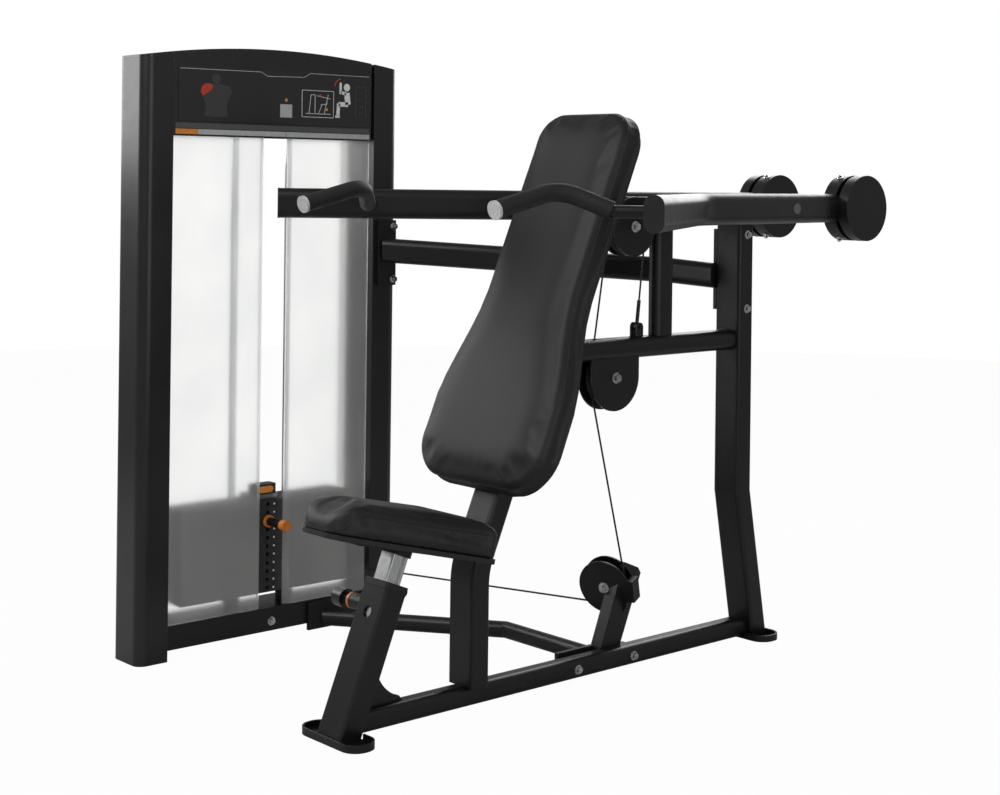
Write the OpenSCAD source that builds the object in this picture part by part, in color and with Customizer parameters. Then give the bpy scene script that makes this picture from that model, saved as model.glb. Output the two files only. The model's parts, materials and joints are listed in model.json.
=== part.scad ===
// Selectorised shoulder press: a weight tower beside a seat, and a pair of overhead arms on one pivot.
// +X is the user's left, the user faces -Y, +Z is up. x = 0 is the user's centre plane, z = 0 the floor.
// The origin is the centre of the front foot's underside; the modules count Y from the frame's middle.
// The weight tower stands on the user's right, at negative X.

/* [Base frame] */
// Width of the main rail
rail_w = 52; // [48:1:56]
// Height of the main rail
rail_h = 52; // [48:1:56]
// Thickness of the front and rear foot plates
foot_t = 18; // [14:1:20]
// Width of the seat tube
seat_tube_w = 90; // [86:1:94]
// Depth of the seat tube
seat_tube_d = 64; // [60:1:68]
// Backward lean of the seat tube
seat_lean = 22; // [20:0.5:24]
// Length of the seat tube along its lean
seat_tube_len = 338; // [320:1:345]
// Backward lean of the back pad and of the post behind it
back_lean = 23.4; // [22.5:0.1:24.5]
// Wall of the frame tubes
wall = 3; // [2.5:0.5:4]

/* [Tower] */
// Inner front face of the tower, measured along X
tower_x = -803; // [-806:1:-800]
// Depth of the tower
tower_d = 139; // [136:1:142]
// Height of the columns under their caps
column_h = 1617; // [1600:1:1630]
// Thickness of one weight plate
plate_t = 23; // [22:0.5:23.4]
// Spacing of the weight plates
plate_pitch = 23.6; // [23.6:0.2:24]
// Number of weight plates
plate_count = 11; // [9:1:11]

/* [Press arms] */
// Height of the arms' pivot above the floor
pivot_z = 1233; // [1225:1:1240]
// Distance of the arms' pivot behind the frame's middle
pivot_y = 656; // [650:1:662]
// Height of the flat-oval arm tube
arm_h = 82; // [78:1:84]
// Thickness of the flat-oval arm tube
arm_w = 45; // [42:1:48]
// Splay of the front part of an arm
arm_splay_front = 34.4; // [33:0.2:35]
// Splay of the rear part of an arm
arm_splay_rear = 10.7; // [10:0.1:11.4]
// Radius of a counterweight
weight_r = 95; // [85:1:98]
// Diameter of the rubber hand grip
grip_d = 43; // [38:1:46]

/* [Pulleys] */
// Cable diameter
cable_d = 5; // [4:0.5:6]
// Groove radius of the arm pulley and the middle pulley
big_groove_r = 68; // [64:1:70]
// Groove radius of the lower pulley and the tower's pulleys
small_groove_r = 45; // [42:1:48]

/* [Hidden] */

$fn = 48;
eps = 0.01;
foot_y = -726;
foot_floor = 3;
rail_z0 = 7;
rail_z1 = rail_z0 + rail_h;
rail_corner = 16;
rail_bolt_z = rail_z0 + rail_h / 2;
half = seat_tube_w / 2;

// Plan centre of the tower
tower_mid_y = -372;
tower_mid_x = tower_x - tower_d / 2;
column_w = 90;
column_front_y = -793;
column_rear_y = -29;
panel_y0 = column_front_y + column_w;
panel_y1 = -41;
shield_z0 = 97;
shield_z1 = 1412;
shield_t = 5;
arch_r = 2622;
arch_top = 1660;
stack_x = tower_mid_x - 2;
stack_z0 = 134;
rod_gap = 90;
pin_row = plate_count - 3;
pin_z = stack_z0 + (pin_row + 0.5) * plate_pitch - 0.3;
lift_z0 = stack_z0 + pin_row * plate_pitch;
stack_top = stack_z0 + plate_count * plate_pitch;

// Pulley centres and the cable's path
arm_pulley_y = 216;
arm_pulley_z = 1182;
mid_pulley_y = 150;
mid_pulley_z = 782;
low_groove_r = 54;
tower_pulley_z = 1528;
rope = cable_d / 2;
big_wrap = big_groove_r + rope;
low_wrap = low_groove_r + rope;
small_wrap = small_groove_r + rope;
pulley_pin_r = 6;
pulley_bore_r = 6.05;

function unit(v) = v / norm(v);

// Angle at which a line from point p touches a circle of radius r round c, on the chosen side
function touch(c, r, p, side) =
    atan2(p[1] - c[1], p[0] - c[0]) + side * acos(r / norm(p - c));

// Front tangent shared by the middle pulley and the arm pulley, in the YZ plane
span_angle = atan2(arm_pulley_z - mid_pulley_z, arm_pulley_y - mid_pulley_y) + 90;

// Cable end in its clevis on the upper tube
upper_z0 = 830;
upper_z1 = 885;
anchor_y = 255;
anchor_h = 26;
anchor_eye = [anchor_y, upper_z1 + anchor_h];
anchor_rod = 72;
anchor_touch = touch([arm_pulley_y, arm_pulley_z], big_wrap, anchor_eye, 1);
anchor_meet = [arm_pulley_y, arm_pulley_z] + big_wrap * [cos(anchor_touch), sin(anchor_touch)];
anchor_end = anchor_eye + anchor_rod * unit(anchor_meet - anchor_eye);

// Low cable run: a level line from the lower pulley to the gap beside the rear column
run_z = 157;
run_start = [-61, 224];
entry_y = -36;
run_angle = atan2(entry_y - run_start[1], tower_x - run_start[0]);
run_dir = [cos(run_angle), sin(run_angle)];
run_side = [-run_dir[1], run_dir[0]];
mid_touch = touch([mid_pulley_y, mid_pulley_z], big_wrap, [228, 225], -1);
mid_point = [0, mid_pulley_y + big_wrap * cos(mid_touch), mid_pulley_z + big_wrap * sin(mid_touch)];
mid_from_run = [mid_point[0], mid_point[1]] - run_start;
low_tilt = -atan2(mid_from_run * run_side, mid_point[2] - run_z);
low_up = [-sin(low_tilt) * run_side[0], -sin(low_tilt) * run_side[1], cos(low_tilt)];
low_centre = [run_start[0], run_start[1], run_z] + low_wrap * low_up;
low_span = [
    mid_from_run * run_dir,
    norm([mid_from_run * run_side, mid_point[2] - run_z]) - low_wrap
];
low_touch = touch([0, 0], low_wrap, low_span, 1);
low_point = low_centre + low_wrap * (cos(low_touch) * [run_dir[0], run_dir[1], 0] + sin(low_touch) * low_up);

// Tower pulleys: one at the foot of the rear column, two under the hood
foot_pulley = [tower_x, entry_y] + 58 * run_dir;
foot_pulley_z = run_z + small_wrap;
rise = foot_pulley + small_wrap * run_dir;
drop = [stack_x, tower_mid_y];
top_angle = atan2(drop[1] - rise[1], drop[0] - rise[0]);
top_dir = [cos(top_angle), sin(top_angle)];
top_rear = rise + small_wrap * top_dir;
top_front = drop - small_wrap * top_dir;

// Seat: the pad's frame is tilted, front edge up
seat_tilt = 13.4;
seat_y = -585;
seat_z = 442;
seat_base_y = -719.5;
seat_tube_z = 18;
seat_drop = 8;

// Back pad: its frame starts at the lower edge of its front face
back_y0 = -347;
back_z0 = 549;
back_len = 1032;
back_pad_t = 60;
back_board_t = 9;
post_d = 58;
post_len = 1010;
post_corner = 10;
post_w = 92;

// Shared places and sizes of the sub-parts
pin_local = [-half, 0, 290];
seat_holes = 3;
slider_w = 50;
slider_d = 48;
slider_y = -2;
groove = 5;
hole_pitch = 17.5;
bend_y = -329;
bend_z = 343;
bend_r = 200;
bend_run = bend_r * tan(back_lean / 2);
upper_corner = 22;
cross_r = 28;
bumper_t = 17;
stop_h = pivot_z - cross_r - upper_z1 - bumper_t - 0.2;
upright_y = pivot_y;
upright_w = 90;
upright_d = 61;
leg_len = 450;
bulkhead = 8;
kick_z = 427;
kick_angle = 10.35;
mitre = 20;
housing_r = 38;
bend_p = [287, 178];
arm_bend_r = 220;
arm_turn = arm_splay_front - arm_splay_rear;
arm_bend_run = arm_bend_r * tan(arm_turn / 2);
arm_front_len = 735;
arm_rear_len = 745;
cross_y = 348;
axle_r = 15;
tongue_x = 165;
cw_y = 1000;
handle_root = [555, -221, pivot_z];
handle_knee = [463, -306, pivot_z];
handle_peak = [370, -391, pivot_z + 50];
handle_tip = [367, -580, pivot_z + 3];
handle_r = 15;
handle_bend_r = 90;
grip_rise = unit(handle_peak - handle_knee);
grip_fall = unit(handle_tip - handle_peak);
handle_turn = acos(grip_rise * grip_fall);
handle_reach = handle_bend_r * tan(handle_turn / 2);
grip_bend_start = handle_peak - handle_reach * grip_rise;
grip_bend_end = handle_peak + handle_reach * grip_fall;
grip_bend_mid = handle_peak + handle_bend_r / cos(handle_turn / 2) * unit(grip_fall - grip_rise);
bend_out = (grip_bend_start - grip_bend_mid) / handle_bend_r;
bend_axis = cross(bend_out, grip_rise);
drum_w = 42;
disc_w = 32;
bracket_x0 = -46;
bracket_x1 = -8;
upper_cross_start = [tower_x + 12, 16, 1091];
upper_cross_knee = [-128, 520, 1051];
upper_cross_end = [-57, 628, 1036];
lower_cross_z = 39;
lower_cross_h = 46;
lower_cross_start = [tower_x + 10, -185, lower_cross_z];
lower_cross_knee = [-370, 124, lower_cross_z];
top_beam_z = 1438;
slot_y0 = -407;
slot_y1 = -326;

// ---------- shared shapes ----------

// Rectangle with rounded corners, in the XY plane
module rounded_rect(w, h, r) {
    square([w - 2 * r, h], center = true);
    square([w, h - 2 * r], center = true);
    for (sx = [-1, 1], sy = [-1, 1])
        translate([sx * (w / 2 - r), sy * (h / 2 - r)]) circle(r);
}

// Flat oval, w wide and h tall
module flat_oval(w, h) {
    square([w, h - w], center = true);
    for (s = [-1, 1]) translate([0, s * (h - w) / 2]) circle(w / 2);
}

// Hollow wall of a rounded rectangle
module tube_section(w, h, r, t) {
    difference() {
        rounded_rect(w, h, r);
        rounded_rect(w - 2 * t, h - 2 * t, r - t);
    }
}

// Extrudes a section drawn in XZ along +Y from y0 to y1
module along_y(y0, y1) {
    translate([0, y1, 0]) rotate([90, 0, 0]) linear_extrude(y1 - y0) children();
}

// Straight round bar between two points
module bar(p, q, r) {
    d = q - p;
    translate(p)
        rotate([0, acos(d[2] / norm(d)), atan2(d[1], d[0])])
            cylinder(h = norm(d), r = r);
}

// Cylinder along X, centred on x = 0
module disc_x(r, w) {
    rotate([0, 90, 0]) cylinder(h = w, r = r, center = true);
}

// Hexagon head with a washer, pointing along +Z, sitting on z = 0
module bolt_head(r) {
    cylinder(h = 2.5, r = r * 1.35);
    translate([0, 0, 2.5]) cylinder(h = r * 0.9, r = r, $fn = 6);
    translate([0, 0, 2.5]) cylinder(h = r * 0.9 + 3, r = r * 0.45);
}

// Grooved pulley wheel around Z with a bore
module sheave(groove_r, w, bore_r) {
    lip = 6;
    rotate_extrude($fn = 96)
        polygon([
            [bore_r, -w / 2], [groove_r + lip, -w / 2], [groove_r + lip, -w / 2 + 1.5],
            [groove_r - 0.05, -3.6], [groove_r - 0.05, 3.6],
            [groove_r + lip, w / 2 - 1.5], [groove_r + lip, w / 2], [bore_r, w / 2]
        ]);
}

// Part of a rope ring around Z
module rope_arc(r, a0, a1) {
    rotate([0, 0, a0]) rotate_extrude(angle = a1 - a0, $fn = 96) translate([r, 0]) circle(rope, $fn = 16);
}

// Moves a part from the frame's middle to the shared origin under the front foot
module placed() {
    translate([0, -foot_y, 0]) children();
}

// ---------- base frame ----------

module rail_solid() {
    translate([0, 0, rail_z0 + rail_h / 2]) along_y(-748, 742)
        rounded_rect(rail_w, rail_h, rail_corner);
}

module main_rail() {
    color("#232323") difference() {
        translate([0, 0, rail_z0 + rail_h / 2]) along_y(-726, 722)
            tube_section(rail_w, rail_h, rail_corner, wall);
        seat_tube_solid();
        upright_solid();
        for (y = [23, 231])
            translate([0, y, rail_bolt_z]) rotate([0, 90, 0]) cylinder(h = 90, r = 5.2, center = true);
    }
}

// Shoe under a tube's foot: a shallow tray with a raised rim, notched where the rail passes
module foot_tray(w, d, r) {
    rim = 5;
    difference() {
        linear_extrude(foot_t) rounded_rect(w, d, r);
        translate([0, 0, foot_floor]) linear_extrude(foot_t) rounded_rect(w - 2 * rim, d - 2 * rim, r - rim);
    }
}

module foot_plates() {
    notch = rail_w + 1;
    color("#1d1d1d") difference() {
        union() {
            translate([0, foot_y, 0]) foot_tray(224, 84, 40);
            translate([0, 731, 0]) foot_tray(188, 90, 40);
        }
        translate([-notch / 2, foot_y + 20, rail_z0 - 1]) cube([notch, 731 - foot_y - 40, foot_t]);
        translate([-seat_tube_w / 2 - 1, foot_y + 20, foot_floor]) cube([seat_tube_w + 2, 30, foot_t]);
    }
}

// Places children in the frame of the seat tube: origin at its foot, Z along the lean
module in_seat_tube() {
    translate([0, seat_base_y, seat_tube_z]) rotate([-seat_lean, 0, 0]) children();
}

module above_floor(z) {
    intersection() {
        children();
        translate([-500, -1500, z]) cube([1000, 3000, 2000]);
    }
}

module seat_tube_solid() {
    above_floor(foot_floor)
        in_seat_tube() translate([0, 0, -60]) linear_extrude(seat_tube_len + 60)
            rounded_rect(seat_tube_w, seat_tube_d, 7);
}

// Welded seat tube with the curved gusset behind its foot
module seat_tube() {
    color("#2b2b2b") difference() {
        union() {
            seat_tube_solid();
            seat_gusset();
        }
        in_seat_tube() translate([0, 0, -80]) linear_extrude(seat_tube_len + 100)
            rounded_rect(seat_tube_w - 8, seat_tube_d - 8, 3);
        in_seat_tube() translate([0, 0, 276]) rotate([90, 0, 0]) cylinder(h = 200, r = 14, center = true);
        in_seat_tube() translate(pin_local) rotate([0, 90, 0]) cylinder(h = 40, r = 8.05, center = true);
    }
}

module seat_gusset() {
    reach = 148;
    translate([-5, 0, 0]) rotate([90, 0, 90]) linear_extrude(10) difference() {
        polygon([[-690, rail_z1], [-690 + reach, rail_z1], [-600, 140], [-652, 140]]);
        translate([-690 + reach + 20, rail_z1 + 108]) circle(100, $fn = 64);
    }
}

module seat_tube_collar() {
    color("#262626") in_seat_tube() difference() {
        union() {
            translate([0, 0, seat_tube_len]) linear_extrude(16) rounded_rect(seat_tube_w, seat_tube_d + 4, 7);
            translate([0, 0, seat_tube_len - 26]) linear_extrude(26 + eps)
                rounded_rect(seat_tube_w - 8.2, seat_tube_d - 8.2, 3);
            translate([0, seat_tube_d / 2 + 14, seat_tube_len + 4]) disc_x(12, 30);
            translate([-15, seat_tube_d / 2 - 4, seat_tube_len + 0.1]) cube([30, 18, 15]);
        }
        translate([0, slider_y, seat_tube_len - 40]) linear_extrude(80)
            rounded_rect(slider_w + 0.4, slider_d + 0.4, 5);
        translate([0, seat_tube_d / 2 + 14, seat_tube_len + 4]) disc_x(4.5, 60);
    }
}

// Extruded slider with a groove down each side and the row of height holes
module seat_slider() {
    color("#b9bcc0") difference() {
        in_seat_tube() translate([0, slider_y, 130]) linear_extrude(330) difference() {
            rounded_rect(slider_w, slider_d, 5);
            rounded_rect(slider_w - 16, slider_d - 8, 3);
            for (s = [-1, 1]) translate([s * slider_w / 2, 0]) square([2 * groove, 28], center = true);
        }
        above_seat_plate();
        for (k = [-seat_holes : seat_holes])
            in_seat_tube() translate([-slider_w / 2, 0, pin_local[2] + k * hole_pitch]) rotate([0, 90, 0])
                cylinder(h = 30, r = 6.2, center = true);
    }
}

// Places children in the frame of the seat pad: Y rearward along the pad, Z up from its underside
module in_seat() {
    translate([0, seat_y, seat_z]) rotate([-seat_tilt, 0, 0]) children();
}

module seat_outline(grow) {
    front = -221 - grow;
    rear = 216 + grow;
    front_half = 92 + grow;
    rear_half = 168 + grow;
    hull() {
        for (s = [-1, 1]) {
            translate([s * (front_half - 58), front + 58]) circle(58);
            translate([s * (rear_half - 26), rear - 26]) circle(26);
        }
    }
}

// Everything above the underside of the seat plate
module above_seat_plate() {
    in_seat() translate([-200, -300, -seat_drop - 6]) cube([400, 600, 400]);
}

// Steel seat plate, with a short ring that the slider's top is welded into
module seat_bracket() {
    color("#2a2a2a") {
        in_seat() translate([-60, -130, -seat_drop - 6]) cube([120, 250, 6]);
        difference() {
            in_seat_tube() translate([0, slider_y, 420]) linear_extrude(60) difference() {
                rounded_rect(slider_w + 10, slider_d + 10, 8);
                rounded_rect(slider_w, slider_d, 5);
            }
            above_seat_plate();
        }
    }
}

// Seat board, wrapped in the same black vinyl as the pad
module seat_board() {
    color("#1c1c1c") in_seat() translate([0, 0, -seat_drop]) linear_extrude(12) seat_outline(-3);
}

module seat_pad() {
    color("#1c1c1c") in_seat() translate([0, 0, 4]) linear_extrude(68) seat_outline(0);
}

// Pull pin that locks the seat height, on the user's right side of the tube
module seat_pin_barrel() {
    color("#4a4c4e") in_seat_tube() translate(pin_local) rotate([0, -90, 0]) difference() {
        union() {
            translate([0, 0, -8]) cylinder(h = 8, r = 8);
            cylinder(h = 52, r = 19);
        }
        translate([0, 0, -20]) cylinder(h = 100, r = 6.05);
    }
}

module seat_pin() {
    color("#e08a2a") in_seat_tube() translate(pin_local) rotate([0, -90, 0]) {
        translate([0, 0, -29]) cylinder(h = 94, r = 6);
        translate([0, 0, 53]) cylinder(h = 7, r = 20);
        translate([0, 0, 60]) cylinder(h = 22, r = 14);
        translate([0, 0, 82]) cylinder(h = 34, r = 23);
    }
}

// ---------- seat post and back ----------

// Bent post: upright at its foot, then leaning behind the back pad
module post_shape(w, d, r, foot, top) {
    translate([0, bend_y, foot]) linear_extrude(bend_z - bend_run - foot) rounded_rect(w, d, r);
    translate([0, bend_y + bend_r, bend_z - bend_run]) rotate([90, 0, -90])
        rotate_extrude(angle = back_lean, $fn = 96)
            translate([bend_r, 0]) rotate([0, 0, 90]) rounded_rect(w, d, r);
    translate([0, bend_y, bend_z]) rotate([-back_lean, 0, 0]) translate([0, 0, bend_run])
        linear_extrude(top) rounded_rect(w, d, r);
}

module post_solid() {
    post_shape(post_w, post_d, post_corner, rail_z1 - 2, post_len);
}

module seat_post() {
    color("#2b2b2b") difference() {
        post_solid();
        rail_solid();
        post_shape(post_w - 2 * wall, post_d - 2 * wall, post_corner - wall, rail_z1 + 4, post_len - wall);
    }
}

// Places children in the frame of the back pad: Z up along its front face, Y through its thickness
module in_back() {
    translate([0, back_y0, back_z0]) rotate([-back_lean, 0, 0]) children();
}

// Half width of the back pad at height s along its face: broad at the waist, narrow between the shoulders
function back_half(s) =
    s < 190 ? 241 : s > 530 ? 177 : 177 + 32 * (1 + cos(180 * (s - 190) / 340));

module back_outline(grow) {
    low = 112;
    high = 92;
    steps = 10;
    side = concat(
        [for (k = [0 : steps]) let (a = -90 + 90 * k / steps)
            [241 - low + low * cos(a), low + low * sin(a)]],
        [for (k = [1 : 12]) let (s = 160 + k * 60) [back_half(s), s]],
        [for (k = [0 : steps]) let (a = 90 * k / steps)
            [177 - high + high * cos(a), back_len - high + high * sin(a)]]
    );
    scale([1 + grow / 209, 1 + 2 * grow / back_len]) translate([0, -grow])
        polygon(concat(side, [for (k = [len(side) - 1 : -1 : 0]) [-side[k][0], side[k][1]]]));
}

module back_pad() {
    color("#1c1c1c") in_back() rotate([90, 0, 0]) translate([0, 0, -back_pad_t])
        linear_extrude(back_pad_t) back_outline(0);
}

module back_board() {
    color("#3a3029") in_back() rotate([90, 0, 0]) translate([0, 0, -back_pad_t - back_board_t])
        linear_extrude(back_board_t) translate([0, 16]) scale([0.93, 0.968]) back_outline(0);
}

// Steel straps that bolt the back board to the post
module back_brackets() {
    color("#2a2a2a") difference() {
        in_back() for (s = [260, 760])
            translate([-130, back_pad_t + back_board_t, s - 25]) cube([260, 8, 50]);
        post_solid();
    }
}

// ---------- rear frame ----------

module upper_tube_solid() {
    translate([0, 0, (upper_z0 + upper_z1) / 2]) along_y(-150, 680)
        rounded_rect(70, upper_z1 - upper_z0, upper_corner);
}

module upper_tube() {
    color("#2b2b2b") difference() {
        translate([0, 0, (upper_z0 + upper_z1) / 2]) along_y(-150, 680)
            tube_section(70, upper_z1 - upper_z0, upper_corner, wall);
        post_solid();
        below_post();
        upright_solid();
        translate([0, mid_pulley_y - big_wrap + 12, upper_z0 - 20]) cylinder(h = 100, r = 11);
        translate([0, mid_pulley_y, mid_pulley_z]) disc_x(big_groove_r + 10, 28);
    }
}

// Everything in front of the leaning post
module below_post() {
    translate([-60, bend_y, bend_z]) rotate([-back_lean, 0, 0]) translate([0, -200, 0]) cube([120, 200, 1200]);
}

module stop_post() {
    color("#2b2b2b") difference() {
        translate([0, cross_y, upper_z1 - 8]) linear_extrude(stop_h + 8) difference() {
            flat_oval(44, 74);
            flat_oval(44 - 2 * wall, 74 - 2 * wall);
        }
        upper_tube_solid();
    }
}

module stop_bumper() {
    color("#141414") translate([0, cross_y, upper_z1 + stop_h]) linear_extrude(bumper_t) flat_oval(36, 60);
}

// Upright tube whose foot kicks forward: two straight lengths that meet at a mitre
module upright_shape(w, d, r) {
    translate([0, upright_y, kick_z]) {
        difference() {
            translate([0, 0, -mitre]) linear_extrude(pivot_z - kick_z + mitre) rounded_rect(w, d, r);
            rotate([kick_angle / 2, 0, 0]) translate([-100, -100, -200]) cube(200);
        }
        difference() {
            rotate([kick_angle, 0, 0]) translate([0, 0, -leg_len]) linear_extrude(leg_len + mitre)
                rounded_rect(w, d, r);
            rotate([kick_angle / 2, 0, 0]) translate([-100, -100, 0]) cube(200);
        }
    }
}

module upright_solid() {
    above_floor(foot_floor) {
        upright_shape(upright_w, upright_d, 10);
        translate([0, pivot_y, pivot_z]) disc_x(housing_r, 96);
    }
}

module rear_upright() {
    color("#2b2b2b") difference() {
        upright_solid();
        translate([0, upright_y, kick_z]) {
            translate([0, 0, bulkhead]) linear_extrude(pivot_z - housing_r - bulkhead - kick_z)
                rounded_rect(upright_w - 2 * wall, upright_d - 2 * wall, 10 - wall);
            rotate([kick_angle, 0, 0]) translate([0, 0, -leg_len + 30]) linear_extrude(leg_len - 30 - bulkhead)
                rounded_rect(upright_w - 2 * wall, upright_d - 2 * wall, 10 - wall);
        }
        translate([0, pivot_y, pivot_z]) disc_x(26, 200);
    }
}

module pivot_bearings() {
    color("#8d9094") for (s = [-1, 1]) translate([s * 39, pivot_y, pivot_z]) rotate([0, 90, 0]) difference() {
        cylinder(h = 18, r = 26, center = true);
        cylinder(h = 30, r = 15.03, center = true);
    }
}

// ---------- press arms ----------

module arm_part(y0, y1, w, h) {
    rotate([90, 0, 0]) translate([0, 0, -y1]) linear_extrude(y1 - y0) flat_oval(w, h);
}

// One arm, on the +X side, from its front cap to the counterweight
module arm_solid(w, h, spare) {
    translate([bend_p[0], bend_p[1], pivot_z]) {
        rotate([0, 0, arm_splay_front]) arm_part(-arm_front_len - spare, -arm_bend_run, w, h);
        rotate([0, 0, arm_splay_rear]) arm_part(arm_bend_run, arm_rear_len + (spare > 0 ? -4 : 0), w, h);
        rotate([0, 0, arm_splay_front]) translate([arm_bend_r, -arm_bend_run, 0])
            rotate([0, 0, 180 - arm_turn]) rotate_extrude(angle = arm_turn, $fn = 128)
                translate([arm_bend_r, 0]) flat_oval(w, h);
    }
}

module both_sides() {
    children();
    mirror([1, 0, 0]) children();
}

// The welded press frame: two arms, the cross tube between them and the weight tongues
module press_arms() {
    color("#2f2f2f") difference() {
        union() {
            both_sides() arm_solid(arm_w, arm_h, 0);
            translate([0, cross_y, pivot_z]) disc_x(cross_r, 500);
            both_sides() translate([tongue_x - 7, 850, pivot_z - 34]) cube([14, cw_y - 850 + 40, 68]);
            for (s = [-1, 1]) translate([s * 24 - 3, 0, 0]) rotate([90, 0, 90]) linear_extrude(6) arm_fork();
        }
        both_sides() arm_solid(arm_w - 2 * wall, arm_h - 2 * wall, 5);
        translate([0, pivot_y, pivot_z]) disc_x(axle_r, 600);
        translate([0, arm_pulley_y, arm_pulley_z]) disc_x(pulley_pin_r + 0.1, 120);
        translate([0, cw_y, pivot_z]) disc_x(8, 600);
    }
}

// Side plate that carries the arm pulley in front of the cross tube
module arm_fork() {
    translate([arm_pulley_y, arm_pulley_z]) circle(80, $fn = 64);
    polygon([
        [arm_pulley_y, arm_pulley_z], [arm_pulley_y + 64, pivot_z - 33], [cross_y, pivot_z - 18],
        [cross_y, pivot_z + 26], [arm_pulley_y + 8, arm_pulley_z + 79]
    ]);
}

module pivot_axle() {
    color("#9a9da1") translate([0, pivot_y, pivot_z]) {
        disc_x(axle_r, 446);
        both_sides() translate([60, 0, 0]) rotate([0, 90, 0]) cylinder(h = 90, r = 22);
    }
}

module arm_end_caps() {
    color("#0e0e0e") both_sides() translate([bend_p[0], bend_p[1], pivot_z])
        rotate([0, 0, arm_splay_front]) arm_part(-arm_front_len - 5, -arm_front_len, arm_w + 1, arm_h + 1);
}

// Places children in the plane of the grip's bend: X outward from its centre, Y along the rising part
module in_grip_bend() {
    multmatrix([
        [bend_out[0], grip_rise[0], bend_axis[0], grip_bend_mid[0]],
        [bend_out[1], grip_rise[1], bend_axis[1], grip_bend_mid[1]],
        [bend_out[2], grip_rise[2], bend_axis[2], grip_bend_mid[2]],
        [0, 0, 0, 1]
    ]) children();
}

// Bent tube: a level stub from the arm, then a rising and a falling length joined by a bend
module handle_left() {
    gap = 0.05;
    color("#303030") difference() {
        union() {
            bar(handle_root, handle_knee, handle_r);
            translate(handle_knee) sphere(handle_r + 0.5);
            bar(handle_knee, grip_bend_start - gap * grip_rise, handle_r);
        }
        arm_solid(arm_w, arm_h, 0);
    }
    color("#303030") {
        in_grip_bend() rotate_extrude(angle = handle_turn, $fn = 128)
            translate([handle_bend_r, 0]) circle(handle_r);
        bar(grip_bend_end + gap * grip_fall, handle_tip - grip_fall, handle_r);
    }
}

module handle_right() {
    mirror([1, 0, 0]) handle_left();
}

// Straight length of the rubber grip
module sleeve(p, q) {
    past = unit(q - p);
    difference() {
        bar(p, q, grip_d / 2);
        bar(p - past, q + past, handle_r + 0.05);
    }
}

module hand_grips() {
    color("#161616") both_sides() {
        sleeve(handle_knee + 6 * grip_rise, grip_bend_start - 0.02 * grip_rise);
        in_grip_bend() rotate_extrude(angle = handle_turn, $fn = 128) translate([handle_bend_r, 0]) difference() {
            circle(grip_d / 2);
            circle(handle_r + 0.05);
        }
        sleeve(grip_bend_end + 0.02 * grip_fall, handle_tip - 0.1 * grip_fall);
    }
}

module grip_caps() {
    color("#c9cbce") both_sides() bar(handle_tip, handle_tip + 7 * grip_fall, grip_d / 2 + 0.5);
}

// ---------- counterweights ----------

// Each weight is an inner drum and an outer disc, clamped on either side of the tongue
module counterweights() {
    color("#202020") both_sides() difference() {
        union() {
            translate([tongue_x - 7 - drum_w, cw_y, pivot_z]) rotate([0, 90, 0])
                cylinder(h = drum_w, r = weight_r, $fn = 96);
            translate([tongue_x + 7, cw_y, pivot_z]) rotate([0, 90, 0])
                cylinder(h = disc_w, r = weight_r, $fn = 96);
        }
        translate([0, cw_y, pivot_z]) rotate([0, 90, 0]) cylinder(h = tongue_x + 20, r = 8);
        arm_solid(arm_w + 0.2, arm_h + 0.2, 0);
    }
}

// Through bolt of each weight, and the radial bolts on its inner part
module counterweight_bolts() {
    color("#c4c6c9") both_sides() {
        translate([tongue_x - 62, cw_y, pivot_z]) rotate([0, 90, 0]) cylinder(h = 62 + 20 - 5, r = 7.9);
        translate([tongue_x - 7 - 42, cw_y, pivot_z]) rotate([0, -90, 0]) bolt_head(12);
        for (a = [114, -114])
            translate([tongue_x - 28, cw_y, pivot_z]) rotate([-90 + a, 0, 0]) translate([0, 0, weight_r])
                bolt_head(7);
    }
}

// ---------- pulleys and cable fittings ----------

module arm_pulley() {
    color("#1a1a1a") translate([0, arm_pulley_y, arm_pulley_z]) rotate([0, 90, 0])
        sheave(big_groove_r, 22, pulley_bore_r);
}

module arm_pulley_bolt() {
    color("#c4c6c9") translate([0, arm_pulley_y, arm_pulley_z]) pulley_bolt(27);
}

module mid_pulley_guards() {
    color("#333333") difference() {
        for (s = [-1, 1]) translate([s * 24 - 3, 0, 0]) rotate([90, 0, 90]) linear_extrude(6) {
            translate([mid_pulley_y, mid_pulley_z]) circle(88, $fn = 72);
            translate([mid_pulley_y - 88, mid_pulley_z]) square([176, upper_z0 + 12 - mid_pulley_z]);
        }
        upper_tube_solid();
        translate([0, mid_pulley_y, mid_pulley_z]) disc_x(pulley_pin_r + 0.1, 120);
    }
}

module mid_pulley() {
    color("#1a1a1a") translate([0, mid_pulley_y, mid_pulley_z]) rotate([0, 90, 0])
        sheave(big_groove_r, 22, pulley_bore_r);
}

// Places children in the leaning plane of the lower pulley: X towards the tower, axis along Y
module in_low_pulley() {
    translate(low_centre) rotate([0, 0, run_angle]) rotate([low_tilt, 0, 0]) children();
}

// Guard plate: round over the pulley, drawn down to a foot
module low_guard() {
    circle(74, $fn = 64);
    polygon([[-74, 0], [-66, -34], [-40, -88], [-8, -88], [60, -44], [74, 0]]);
}

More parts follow.
